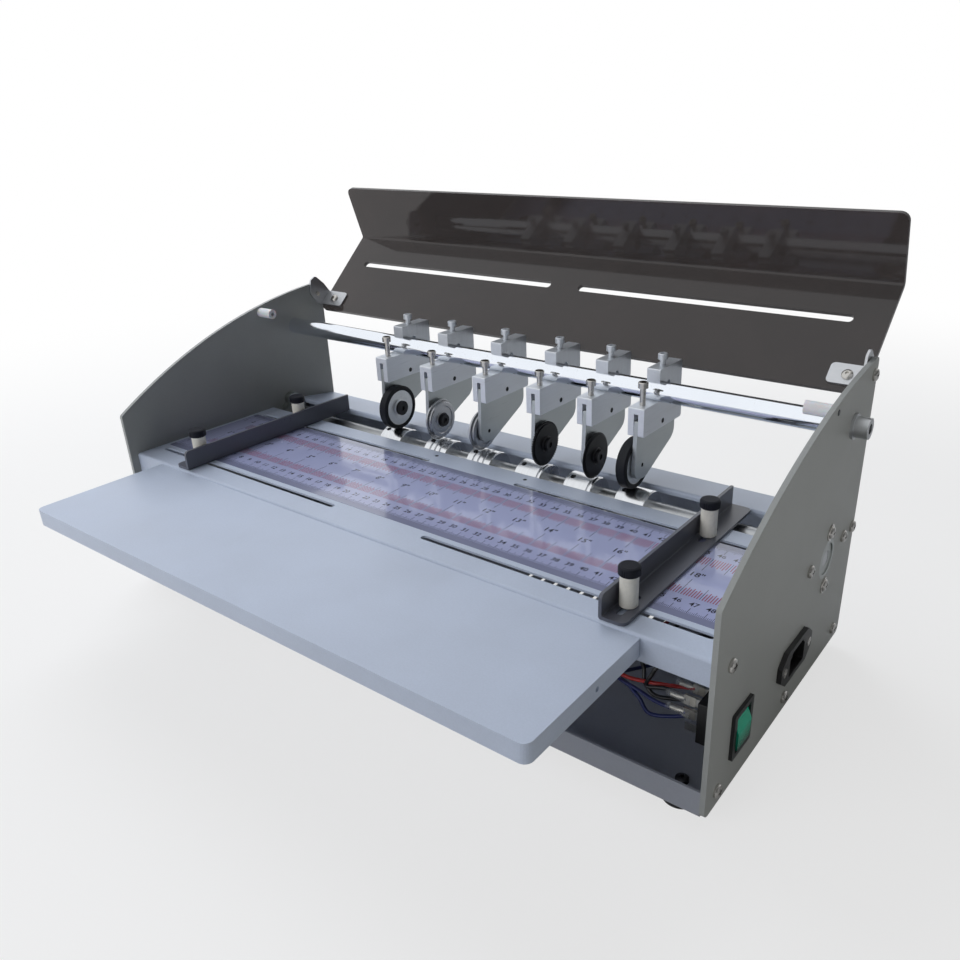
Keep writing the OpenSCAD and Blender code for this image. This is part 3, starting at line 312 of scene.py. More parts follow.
def node(tree, kind, settings=None, **inputs):
    """One shader node with its settings and inputs."""
    made = tree.nodes.new("ShaderNode" + kind)
    for key, value in (settings or {}).items():
        setattr(made, key, value)
    feed(tree, made, **inputs)
    return made


def maths(tree, operation, a, b=0.0):
    return node(tree, "Math", {"operation": operation}, i0=a, i1=b).outputs[0]


def plus(tree, value, mask, share):
    """The value, raised by a share of the mask."""
    return maths(tree, "ADD", value, maths(tree, "MULTIPLY", mask, share))


def blend(tree, share, a, b):
    """Colour a where the share is 0 and b where it is 1."""
    return node(tree, "Mix", {"data_type": "RGBA"}, i0=share, i6=a, i7=b).outputs[2]


def ramp(tree, value, start, end, low=0.0, high=1.0, rise="LINEAR"):
    """The number low up to start, high from end on, and a linear or smooth rise between them."""
    return node(tree, "MapRange", {"interpolation_type": rise}, Value=value, From_Min=start,
                From_Max=end, To_Min=low, To_Max=high).outputs[0]


def between(tree, share, low, high):
    """The number low where the share is 0 and high where it is 1."""
    return ramp(tree, share, 0.0, 1.0, low, high)


def noise(tree, place, scale, detail, **more):
    """Smooth noise from 0 to 1, with about scale bumps in a metre."""
    return node(tree, "TexNoise", Vector=place, Scale=scale, Detail=detail, **more).outputs[0]


def vector(tree, operation, a, b=(0.0, 0.0, 0.0)):
    """The outputs of one step of vector arithmetic."""
    return node(tree, "VectorMath", {"operation": operation}, i0=a, i1=b).outputs


def shader_group(name, inputs, outputs, fill):
    """A shader node group, built once: fill(tree, inside, given) returns what each output gives."""
    if name in bpy.data.node_groups:
        return bpy.data.node_groups[name]
    tree = bpy.data.node_groups.new(name, "ShaderNodeTree")
    for title, kind, value in inputs:
        tree.interface.new_socket(title, in_out="INPUT", socket_type=kind).default_value = value
    for title in outputs:
        tree.interface.new_socket(title, in_out="OUTPUT", socket_type="NodeSocketFloat")
    given = tree.nodes.new("NodeGroupInput").outputs
    result = tree.nodes.new("NodeGroupOutput").inputs
    for title, socket in zip(outputs, fill(tree, given)):
        tree.links.new(socket, result[title])
    return tree


def use(tree, group, **inputs):
    """Places a shader node group in a material and returns its outputs."""
    return node(tree, "Group", {"node_tree": group}, **inputs).outputs


PLACE = ("Vector", "NodeSocketVector", (0.0, 0.0, 0.0))


def grain_group():
    """Powder coat: fine rounded bumps on a slow swell, and a faint cloudy tone."""
    def fill(tree, given):
        fine = maths(tree, "DIVIDE", 1.0, given["Grain"])
        bumps = noise(tree, given["Vector"], fine, 1.5, Roughness=0.45)
        swell = noise(tree, given["Vector"], maths(tree, "MULTIPLY", fine, 0.22), 1.0)
        cloud = noise(tree, given["Vector"], 16.0, 3.0)
        speck = maths(tree, "SUBTRACT", bumps, 0.5)
        return plus(tree, bumps, swell, 1.6), plus(tree, cloud, speck, 0.55)
    return shader_group("Powder grain", [PLACE, ("Grain", "NodeSocketFloat", 0.001)],
                        ["Height", "Tone"], fill)


def marks_group():
    """Use: soft smears from hands, and fine scratches that run mostly one way."""
    def fill(tree, given):
        smear = noise(tree, given["Vector"], 22.0, 4.0, Distortion=1.2)
        slanted = node(tree, "Mapping", Vector=given["Vector"], Rotation=(0.3, 0.2, 0.7),
                       Scale=(900.0, 40.0, 900.0)).outputs[0]
        lines = noise(tree, slanted, 1.0, 2.0)
        return ramp(tree, smear, 0.45, 0.75), ramp(tree, lines, 0.66, 0.74)
    return shader_group("Handling marks", [PLACE], ["Smear", "Scratch"], fill)


def brushed_group():
    """Tool marks: noise drawn out along the directions in which Stretch is small."""
    def fill(tree, given):
        drawn = vector(tree, "MULTIPLY", given["Vector"], given["Stretch"])[0]
        fine = noise(tree, drawn, 1.0, 3.0, Roughness=0.6)
        slow = noise(tree, drawn, 0.13, 1.0)
        return fine, maths(tree, "ADD", maths(tree, "MULTIPLY", fine, 0.6),
                           maths(tree, "MULTIPLY", slow, 0.4))
    return shader_group("Tool marks", [PLACE, ("Stretch", "NodeSocketVector", (800.0, 60.0, 60.0))],
                        ["Height", "Streak"], fill)


def ring_group():
    """1 within Radius of the line along X through Centre, and 0 beyond it."""
    def fill(tree, given):
        off = vector(tree, "SUBTRACT", given["Vector"], given["Centre"])[0]
        off = vector(tree, "MULTIPLY", off, (0.0, 1.0, 1.0))[0]
        far = vector(tree, "LENGTH", off)["Value"]
        return (maths(tree, "LESS_THAN", far, given["Radius"]),)
    return shader_group("Inside ring", [PLACE, ("Centre", "NodeSocketVector", (0.0, 0.0, 0.0)),
                                        ("Radius", "NodeSocketFloat", 0.01)], ["Mask"], fill)


def box_group():
    """1 inside the box round Centre that reaches Reach each way, and 0 outside it."""
    def fill(tree, given):
        off = vector(tree, "SUBTRACT", given["Vector"], given["Centre"])[0]
        off = vector(tree, "ABSOLUTE", off)[0]
        over = vector(tree, "SUBTRACT", off, given["Reach"])[0]
        part = node(tree, "SeparateXYZ", Vector=over).outputs
        most = maths(tree, "MAXIMUM", maths(tree, "MAXIMUM", part[0], part[1]), part[2])
        return (maths(tree, "LESS_THAN", most, 0.0),)
    return shader_group("Inside box", [PLACE, ("Centre", "NodeSocketVector", (0.0, 0.0, 0.0)),
                                       ("Reach", "NodeSocketVector", (1.0, 1.0, 1.0))],
                        ["Mask"], fill)


def in_ring(tree, place, centre, radius_mm):
    """Mask of what lies within the radius of a line along X through the centre."""
    return use(tree, ring_group(), Vector=place, Centre=centre, Radius=radius_mm * MM)["Mask"]


def in_box(tree, place, centre, reach_mm):
    """Mask of what lies no further than reach_mm from the centre along each axis."""
    reach = tuple(r * MM for r in reach_mm)
    return use(tree, box_group(), Vector=place, Centre=centre, Reach=reach)["Mask"]


finishes_made = {}


def new_finish(name):
    """An empty material with its shader and the place on the piece."""
    made = bpy.data.materials.new(name)
    finishes_made[name] = made
    made.use_nodes = True
    tree = made.node_tree
    place = node(tree, "TexCoord").outputs["Object"]
    return made, tree, tree.nodes["Principled BSDF"], place


def tone(rgb, share):
    """A colour made lighter or darker by a share."""
    return tuple(min(1.0, c * share) for c in rgb) + (1.0,)


# ------------------------------------------------------------------ finishes


def powder_coat(name, rgb, roughness=0.48, depth_mm=0.035, coat=0.15):
    """Baked powder: orange-peel bumps, a cloudy tone and smears where hands rest."""
    if name in finishes_made:
        return finishes_made[name]
    made, tree, shader, place = new_finish(name)
    grain = use(tree, grain_group(), Vector=place, Grain=bpy.context.scene.creaser_paint.grain)
    marks = use(tree, marks_group(), Vector=place)
    base = blend(tree, grain["Tone"], tone(rgb, 0.90), tone(rgb, 1.10))
    base = blend(tree, maths(tree, "MULTIPLY", marks["Smear"], 0.10), base, tone(rgb, 0.75))
    rough = plus(tree, between(tree, grain["Tone"], roughness - 0.05, roughness + 0.05),
                 marks["Smear"], -0.06)
    bump = node(tree, "Bump", Strength=0.8, Distance=depth_mm * MM, Height=grain["Height"])
    feed(tree, shader, Base_Color=base, Roughness=rough, Normal=bump.outputs[0],
         Coat_Weight=coat, Coat_Roughness=0.35)
    return made


def worked_metal(name, rgb, roughness=0.3, metallic=1.0, stretch=(900.0, 60.0, 60.0),
                 depth_mm=0.006, contrast=0.16):
    """Turned, milled or drawn metal: tool marks along one direction under faint scratches."""
    if name in finishes_made:
        return finishes_made[name]
    made, tree, shader, place = new_finish(name)
    cuts = use(tree, brushed_group(), Vector=place, Stretch=stretch)
    marks = use(tree, marks_group(), Vector=place)
    base = blend(tree, cuts["Streak"], tone(rgb, 1 - contrast), tone(rgb, 1 + contrast))
    base = blend(tree, maths(tree, "MULTIPLY", marks["Scratch"], 0.25), base, tone(rgb, 0.6))
    rough = plus(tree, between(tree, cuts["Streak"], roughness - 0.08, roughness + 0.08),
                 marks["Smear"], 0.10)
    bump = node(tree, "Bump", Strength=0.7, Distance=depth_mm * MM, Height=cuts["Height"])
    feed(tree, shader, Base_Color=base, Roughness=rough, Metallic=metallic,
         Normal=bump.outputs[0])
    return made


def moulded(name, rgb, roughness=0.45, depth_mm=0.012, coat=0.0, subsurface=0.0, shine=0.5):
    """Moulded plastic or rubber: a fine matt skin with smears."""
    if name in finishes_made:
        return finishes_made[name]
    made, tree, shader, place = new_finish(name)
    skin = use(tree, grain_group(), Vector=place, Grain=0.0005)
    marks = use(tree, marks_group(), Vector=place)
    base = blend(tree, skin["Tone"], tone(rgb, 0.86), tone(rgb, 1.14))
    rough = plus(tree, between(tree, skin["Tone"], roughness - 0.06, roughness + 0.06),
                 marks["Smear"], 0.08)
    bump = node(tree, "Bump", Strength=0.6, Distance=depth_mm * MM, Height=skin["Height"])
    feed(tree, shader, Base_Color=base, Roughness=rough, Normal=bump.outputs[0],
         Coat_Weight=coat, Coat_Roughness=0.15, Specular_IOR_Level=shine,
         Subsurface_Weight=subsurface, Subsurface_Scale=0.002)
    return made


def two_tone(made, mask_of, rgb, roughness, metallic):
    """Lays a second finish over a material where mask_of(tree, place) is 1."""
    tree = made.node_tree
    shader = tree.nodes["Principled BSDF"]
    place = next(n for n in tree.nodes if n.bl_idname == "ShaderNodeTexCoord").outputs["Object"]
    mask = mask_of(tree, place)
    streak = use(tree, brushed_group(), Vector=place, Stretch=(700.0, 500.0, 500.0))["Streak"]
    over = blend(tree, streak, tone(rgb, 0.82), tone(rgb, 1.18))
    for title, value in (("Base Color", over), ("Roughness", roughness), ("Metallic", metallic)):
        socket = shader.inputs[title]
        was = socket.links[0].from_socket if socket.links else socket.default_value
        if title == "Base Color":
            new = blend(tree, mask, was, value)
        else:
            new = node(tree, "Mix", {"data_type": "FLOAT"}, i0=mask, i2=was, i3=value).outputs[0]
        tree.links.new(new, socket)
    return made


def bright_screw():
    return worked_metal("bright_screw", (0.58, 0.56, 0.53), roughness=0.2, stretch=(300, 300, 900))


def black_oxide():
    return worked_metal("black_oxide", (0.05, 0.05, 0.055), roughness=0.4)


def zinc_plate():
    return worked_metal("zinc_plate", (0.46, 0.48, 0.47), roughness=0.38, stretch=(220, 220, 220))


def tinned_brass():
    return worked_metal("tinned_brass", (0.66, 0.64, 0.58), roughness=0.28, stretch=(200, 200, 200))


def smoked_sheet():
    """Smoked acrylic: clear gloss with faint wipe marks, and a little of the room shows through."""
    hood = bpy.context.scene.creaser_hood
    made, tree, shader, place = new_finish("smoked_sheet")
    marks = use(tree, marks_group(), Vector=place)
    veil = noise(tree, place, 5.0, 2.0)
    base = blend(tree, veil, tone(hood.tint, 0.7), tone(hood.tint, 1.3))
    base = blend(tree, maths(tree, "MULTIPLY", marks["Smear"], 0.25), base, tone(hood.tint, 2.2))
    rough = plus(tree, 0.045, marks["Smear"], 0.05)
    alpha = between(tree, veil, hood.opacity - 0.03, hood.opacity + 0.03)
    feed(tree, shader, Base_Color=base, Roughness=rough, Alpha=alpha, IOR=1.49,
         Specular_IOR_Level=0.5)
    return made


def film_ripple(tree, place):
    """The film's slight ripple, which the ink under it shares."""
    return node(tree, "Bump", Strength=0.5, Distance=0.0006, Height=noise(tree, place, 14.0, 1.0))


def film_finish():
    """Laminated rule: a pale printed ground between clear margins, with a slight ripple."""
    ruler = bpy.context.scene.creaser_ruler
    made, tree, shader, place = new_finish("ruler_film")
    ground = in_box(tree, place, spot(0, 76.75, DECK_MM), (FAR_MM, 38.75, FAR_MM))
    cloud = noise(tree, place, 9.0, 3.0)
    printed = blend(tree, cloud, tone(ruler.paper, 0.93), tone(ruler.paper, 1.07))
    margin = blend(tree, cloud, tone(ruler.paper, 0.50), tone(ruler.paper, 0.60))
    bump = film_ripple(tree, place)
    marks = use(tree, marks_group(), Vector=place)
    feed(tree, shader, Base_Color=blend(tree, ground, margin, printed),
         Roughness=plus(tree, 0.16, marks["Smear"], 0.12),
         Normal=bump.outputs[0], Coat_Weight=1.0, Coat_Roughness=0.06, IOR=1.5)
    return made


def ink_finish(name, rgb):
    """Ink under the laminate, with the speckle of a screen print."""
    made, tree, shader, place = new_finish(name)
    speckle = noise(tree, place, 1500.0, 1.0)
    bump = film_ripple(tree, place)
    feed(tree, shader, Base_Color=blend(tree, speckle, tone(rgb, 0.8), tone(rgb, 1.25)),
         Roughness=between(tree, speckle, 0.12, 0.22), Normal=bump.outputs[0],
         Coat_Weight=1.0, Coat_Roughness=0.06, IOR=1.5)
    return made


def clear_sleeve():
    """Clear soft sleeve over a terminal: mostly see-through, with uneven gloss."""
    made, tree, shader, place = new_finish("clear_sleeve")
    haze = noise(tree, place, 300.0, 2.0)
    feed(tree, shader, Base_Color=blend(tree, haze, (0.55, 0.57, 0.6, 1), (0.8, 0.82, 0.85, 1)),
         Roughness=between(tree, haze, 0.04, 0.16), Alpha=between(tree, haze, 0.05, 0.22),
         IOR=1.45)
    return made


# ------------------------------------------------------------------ operators


class CREASER_OT_sheet_metal(bpy.types.Operator):
    """Coats the pan, side plates, deck, feed table and rear panel"""
    bl_idname = "creaser.sheet_metal"
    bl_label = "Sheet metal"

    def execute(self, context):
        paint = context.scene.creaser_paint
        dress(powder_coat("deck_coat", paint.deck, roughness=0.42, coat=0.25),
              "deck", "feed_table", "rear_panel")
        dress(powder_coat("plate_coat", paint.plates), "left_side_plate", "right_side_plate")
        dress(powder_coat("pan_coat", paint.pan), "base_pan")
        dress(moulded("foot_rubber", (0.022, 0.022, 0.024), roughness=0.7), "rubber_feet")
        dress(moulded("pin_nylon", (0.82, 0.83, 0.84), roughness=0.4, subsurface=0.25), "stop_pins")
        return {"FINISHED"}


def tick_marks(x_mm, low_mm, high_mm, width_mm, lift_mm):
    """Flat strokes, one for each x, from low to high; all four arguments run together."""
    x, low, high, width = np.broadcast_arrays(x_mm, low_mm, high_mm, width_mm)
    corner_x = np.stack([x - width / 2, x + width / 2, x + width / 2, x - width / 2], -1)
    corner_y = np.stack([low, low, high, high], -1)
    points = np.stack([corner_x, corner_y, np.full_like(corner_x, DECK_MM + lift_mm)], -1)
    return points.reshape(-1, 3), np.arange(len(x) * 4).reshape(-1, 4).tolist()


def figures(words, x_mm, y_mm, height_mm, lift_mm):
    """Flat figures, each centred on its own x and on the row's y."""
    made = []
    for word, x in zip(words, x_mm):
        letters = bpy.data.curves.new("figures", "FONT")
        letters.body = word
        letters.align_x, letters.align_y = "CENTER", "CENTER"
        letters.size = 1.38
        letters.resolution_u = 3
        letters.offset = 0.022
        holder = put("figures", letters)
        bpy.context.view_layer.update()
        solid = holder.evaluated_get(bpy.context.evaluated_depsgraph_get())
        mesh = solid.to_mesh()
        flat = np.zeros(len(mesh.vertices) * 3)
        mesh.vertices.foreach_get("co", flat)
        points = flat.reshape(-1, 3) * height_mm
        points[:, 0] += x
        points[:, 1] += y_mm
        points[:, 2] = DECK_MM + lift_mm
        made.append((points, [list(face.vertices) for face in mesh.polygons]))
        solid.to_mesh_clear()
        bpy.data.objects.remove(holder)
        bpy.data.curves.remove(letters)
    return made


class CREASER_OT_ruler(bpy.types.Operator):
    """Lays the printed rule on the deck, in centimetres and in sixteenths of an inch"""
    bl_idname = "creaser.ruler"
    bl_label = "Deck rule"

    def execute(self, context):
        ruler = context.scene.creaser_ruler
        top = ruler.film / MM
        lift = top + 0.03
        edge = HALF_MM - 3.5
        film_width, film_middle = 88.4, 76.4
        outline = rounded_box(2 * edge, film_width, 2.0)
        film = plate(outline, top, (0, film_middle, DECK_MM), (1, 0, 0), (0, 1, 0))
        piece("ruler_film", "base", [film], [film_finish()], smooth=False)

        zero = -251.9
        cm, inch = 10, 25.4
        rear_edge, front_edge = 115.5, 38.0
        mm = np.arange(cm, cm * ruler.last_cm + 12)
        x = zero + mm
        keep = np.abs(x) < edge - 1
        mm, x = mm[keep], x[keep]
        kind = np.where(mm % 10 == 0, 2, np.where(mm % 5 == 0, 1, 0))
        width = np.array([0.24, 0.26, 0.34])[kind]
        rear = tick_marks(x, rear_edge - np.array([2.2, 4.0, 7.0])[kind], rear_edge, width, lift)
        front = tick_marks(x, front_edge, front_edge + np.array([2.0, 3.5, 5.5])[kind], width, lift)

        last_inch = 19
        rear_line, front_line = 100.0, 54.0
        part = np.arange(16, 16 * (last_inch + 1))
        x = zero + part * inch / 16
        keep = np.abs(x) < edge - 1
        part, x = part[keep], x[keep]
        kind = np.where(part % 16 == 0, 3, np.where(part % 8 == 0, 2, part % 2))
        rear_low = np.array([90.0, 91.5, 86.0, 84.0])[kind]
        front_high = np.array([63.0, 61.5, 66.0, 72.0])[kind]
        dark = kind >= 2

        def both_rows(pick, stroke):
            return [tick_marks(x[pick], rear_low[pick], rear_line, stroke, lift),
                    tick_marks(x[pick], front_line, front_high[pick], stroke, lift)]
        red_ink = ink_finish("red_ink", ruler.red)
        dark_ink = ink_finish("dark_ink", ruler.dark)
        piece("ruler_red_marks", "base", both_rows(~dark, 0.62), [red_ink], smooth=False)
        piece("ruler_dark_marks", "base", [rear, front] + both_rows(dark, 0.34), [dark_ink],
              smooth=False)

        number = np.arange(1, ruler.last_cm + 1)
        x = zero + cm * number
        keep = np.abs(x) < edge - 4
        words = [str(n) for n in number[keep]]
        height = ruler.figure / MM
        rear_row, front_row, inch_row = 105.5, 47.5, 77.5
        rows = figures(words, x[keep], rear_row, height, lift)
        rows += figures(words, x[keep], front_row, height, lift)
        number = np.arange(1, last_inch + 1)
        x = zero + inch * number
        keep = np.abs(x) < edge - 5
        rows += figures([f'{n}"' for n in number[keep]], x[keep], inch_row, height * 1.25, lift)
        piece("ruler_figures", "base", rows, [dark_ink], smooth=False)
        return {"FINISHED"}


class CREASER_OT_shafts(bpy.types.Operator):
    """Finishes the tool bar, driven shaft, rollers and bearings"""
    bl_idname = "creaser.shafts"
    bl_label = "Bar, shaft and rollers"

    def execute(self, context):
        dress(worked_metal("bar_chrome", (0.88, 0.91, 0.96), roughness=0.08, stretch=(60, 60, 60),
                           depth_mm=0.002, contrast=0.04), "tool_bar")
        dress(worked_metal("turned_steel", (0.50, 0.51, 0.52), roughness=0.30), "drive_shaft",
              "bar_screws")
        dress(worked_metal("turned_aluminium", (0.80, 0.81, 0.83), roughness=0.24,
                           stretch=(1500, 25, 25), depth_mm=0.01), "shaft_rollers")
        dress(zinc_plate(), "shaft_bearings")
        parts = []
        rollers_mm = (-109.5, -59.6, -15.0, 32.2, 76.2, 119.2)
        for x in rollers_mm:
            for angle in np.radians((200.0, 320.0)):
                out = np.array([0.0, np.sin(angle), -np.cos(angle)])
                foot = np.array([x - 7.0, SHAFT_Y_MM, SHAFT_MM]) + out * 8.1
                parts.append(turned([(0, 1.85), (4.4, 1.85), (4.8, 1.5), (4.8, 1.0), (3.2, 0.95)],
                                    foot, out, sides=16))
        piece("roller_grub_screws", "drive_shaft", parts, [black_oxide()])
        return {"FINISHED"}


class CREASER_OT_tools(bpy.types.Operator):
    """Finishes the six tool heads and their wheels"""
    bl_idname = "creaser.tools"
    bl_label = "Tool heads"

    def execute(self, context):
        block = worked_metal("milled_aluminium", (0.78, 0.81, 0.85), roughness=0.38, metallic=0.45,
                             stretch=(60, 60, 900), contrast=0.08)

        def pivot(tree, place):
            return in_ring(tree, place, spot(0, *PIN_MM), 1.8)
        two_tone(block, pivot, (0.01, 0.01, 0.012), 0.6, 0.0)
        jaw = worked_metal("milled_steel", (0.66, 0.69, 0.73), roughness=0.30, metallic=0.55,
                           stretch=(60, 900, 60))
        for n, (name, tool_x) in enumerate(zip(WHEELS, TOOL_X_MM), 1):
            low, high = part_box(name)
            middle = tuple((low + high) / 2)
            dress(block, f"tool_block_{n}")
            dress(jaw, f"clamp_jaw_{n}")
            dress(bright_screw(), f"pressure_screw_{n}")
            arm = worked_metal(f"ground_steel_{n}", (0.48, 0.51, 0.515), roughness=0.36,
                               metallic=0.85, stretch=(200, 60, 700), contrast=0.08)
            side = 1 if middle[0] > tool_x * MM else -1

            def axle(tree, place, tool_x=tool_x, middle=middle, side=side):
                head = in_box(tree, place, spot(tool_x + side * 12.0, 0, 0), (10.2, FAR_MM, FAR_MM))
                return maths(tree, "MAXIMUM", head, in_ring(tree, place, middle, 1.5))
            dress(two_tone(arm, axle, (0.014, 0.014, 0.017), 0.42, 0.3), f"tool_arm_{n}")
            if name.startswith("drive"):
                made = moulded("tyre_" + name[-1], (0.010, 0.011, 0.014), roughness=0.5, shine=0.25)
                reach, rgb, rough = 14.4, (0.80, 0.82, 0.83), 0.42
            elif name.startswith("crease"):
                made = worked_metal("creasing_steel_" + name[-1], (0.42, 0.43, 0.45),
                                    roughness=0.26)
                reach, rgb, rough = 5.9, (0.10, 0.10, 0.11), 0.4
            else:
                made = worked_metal("blackened_steel_" + name[-1], (0.014, 0.014, 0.016),
                                    roughness=0.40, metallic=0.5)
                reach, rgb, rough = 3.2, (0.35, 0.35, 0.36), 0.35

            def hub(tree, place, middle=middle, reach=reach):
                return in_ring(tree, place, middle, reach)
            dress(two_tone(made, hub, rgb, rough, 0.75), name)
        return {"FINISHED"}


class CREASER_OT_guides(bpy.types.Operator):
    """Finishes the side guides and their thumb screws"""
    bl_idname = "creaser.guides"
    bl_label = "Side guides"

    def execute(self, context):
        paint = context.scene.creaser_paint
        dress(powder_coat("gunmetal", paint.guides, roughness=0.34, depth_mm=0.015, coat=0.3),
              "left_guide", "right_guide")
        cap = moulded("thumb_screw", (0.010, 0.011, 0.016), roughness=0.5, shine=0.2)
        sleeve_low, sleeve_high = DECK_MM + 2.0, DECK_MM + 21.0

        def sleeve(tree, place):
            return in_box(tree, place, spot(0, 0, (sleeve_low + sleeve_high) / 2),
                          (FAR_MM, FAR_MM, (sleeve_high - sleeve_low) / 2))

        def thread(tree, place):
            return in_box(tree, place, spot(0, 0, sleeve_low - 50.0), (FAR_MM, FAR_MM, 50.0))
        two_tone(cap, sleeve, (0.80, 0.77, 0.69), 0.42, 0.0)
        two_tone(cap, thread, (0.5, 0.5, 0.5), 0.3, 0.9)
        dress(cap, *(f"{side}_{end}_knob" for side in ("left", "right") for end in ("front", "rear")))
        return {"FINISHED"}


class CREASER_OT_hood(bpy.types.Operator):
    """Finishes the smoked hood, its hinge brackets and their screws"""
    bl_idname = "creaser.hood"
    bl_label = "Hood"

    def execute(self, context):
        dress(smoked_sheet(), "hood")
        dress(worked_metal("hinge_zinc", (0.62, 0.63, 0.65), roughness=0.32, metallic=0.85,
                           stretch=(150, 400, 150)), "hood_hinges")
        parts = []
        hood_half = (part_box("hood")[1].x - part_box("hood")[0].x) / 2 / MM
        up = hood_place([0, 0, 1]) - hood_place([0, 0, 0])
        for side in (-1, 1):
            x = side * (hood_half - 12.5)
            head = hood_place([x, 3.0, -9.5])
            parts.append(turned([(0, 3.6), (0.9, 3.6), (1.7, 2.9), (2.1, 1.7), (2.1, 1.2),
                                 (1.1, 1.15)], head, up, sides=24))
            nut = hood_place([x, 3.0, -14.0])
            parts.append(turned([(-3.0, 3.0), (-2.7, 3.5), (0, 3.5)], nut, up, sides=6))
            parts.append(shank(nut, up, -4.2, 4.5))
        piece("hinge_screws", "hood", parts, [bright_screw()])
        return {"FINISHED"}


class CREASER_OT_electrics(bpy.types.Operator):
    """Finishes the mains inlet and the switch, and adds their screws"""
    bl_idname = "creaser.electrics"
    bl_label = "Inlet and switch"

    def execute(self, context):
        inlet = moulded("inlet_plastic", (0.014, 0.014, 0.015), roughness=0.36)
        y, z = INLET_MM

        def pins(tree, place):
            total = 0.0
            for dy, dz in ((-7.0, -1.5), (0.0, 2.5), (7.0, -1.5)):
                one = in_box(tree, place, spot(OUTER_MM - 18.0, y + dy, z + dz), (16.2, 1.2, 3.2))
                total = maths(tree, "MAXIMUM", one, total)
            body = in_box(tree, place, spot(OUTER_MM - 15.9, y, z), (2.8, FAR_MM, FAR_MM))
            return maths(tree, "MULTIPLY", total, maths(tree, "SUBTRACT", 1.0, body))
        dress(two_tone(inlet, pins, (0.62, 0.58, 0.45), 0.3, 1.0), "power_inlet")

        housing = moulded("switch_plastic", (0.012, 0.012, 0.013), roughness=0.32)

        def tabs(tree, place):
            return in_box(tree, place, spot(OUTER_MM - 28.0, *SWITCH_MM), (7.9, FAR_MM, FAR_MM))
        dress(two_tone(housing, tabs, (0.62, 0.62, 0.60), 0.3, 1.0), "switch_housing")

        rocker, tree, shader, place = new_finish("rocker_green_painted_light")
        # Painted light: the rocker's green is painted dark low down and bright at its top, a painted
        # shade below and a painted highlight above.
        height = node(tree, "SeparateXYZ", Vector=place).outputs[2]
        low = SWITCH_MM[1] * MM - 0.010
        rise = ramp(tree, height, low, low + 0.012)
        swirl = noise(tree, place, 120.0, 2.0)
        green = blend(tree, rise, (0.002, 0.07, 0.040, 1), (0.008, 0.50, 0.30, 1))
        green = blend(tree, maths(tree, "MULTIPLY", swirl, 0.3), green, (0.003, 0.20, 0.12, 1))
        feed(tree, shader, Base_Color=green, Roughness=between(tree, swirl, 0.16, 0.3),
             Specular_IOR_Level=0.4)
        dress(rocker, "switch_rocker")

        parts = []
        for side in (-1, 1):
            parts.append(turned([(-2.0, 1.5), (1.6, 1.5), (3.0, 3.0), (3.4, 3.0), (3.4, 1.0),
                                 (2.6, 0.9)], (OUTER_MM, y + 20.0 * side, z), sides=24))
            parts.append(turned([(-2.4, 2.6), (0, 2.6)], (HALF_MM, y + 20.0 * side, z), sides=6))
        piece("inlet_screws", "base", parts, [bright_screw()])
        return {"FINISHED"}


def terminal(tip_mm):
    """Push-on terminal behind a switch or inlet tab: flat box, crimp barrel and clear sleeve."""
    tip = np.asarray(tip_mm, float)
    outline = rounded_box(7.0, 6.2, 0.8, 2)
    box = plate(outline, 1.6, tip + [2.2, 0.8, 0], (1, 0, 0), UP)
    barrel = turned([(-9.5, 1.5), (-9.0, 1.9), (-4.0, 1.9), (-1.0, 1.2)], tip, sides=12)
    sleeve = turned([(-12.0, 1.6), (-11.5, 2.1), (-4.0, 2.3), (-1.0, 3.0), (3.0, 3.1), (3.0, 2.8),
                     (-1.0, 2.7), (-4.0, 2.0), (-11.5, 1.8)], tip, sides=16, ring=True)
    return (*box, 0), (*barrel, 0), (*sleeve, 1)


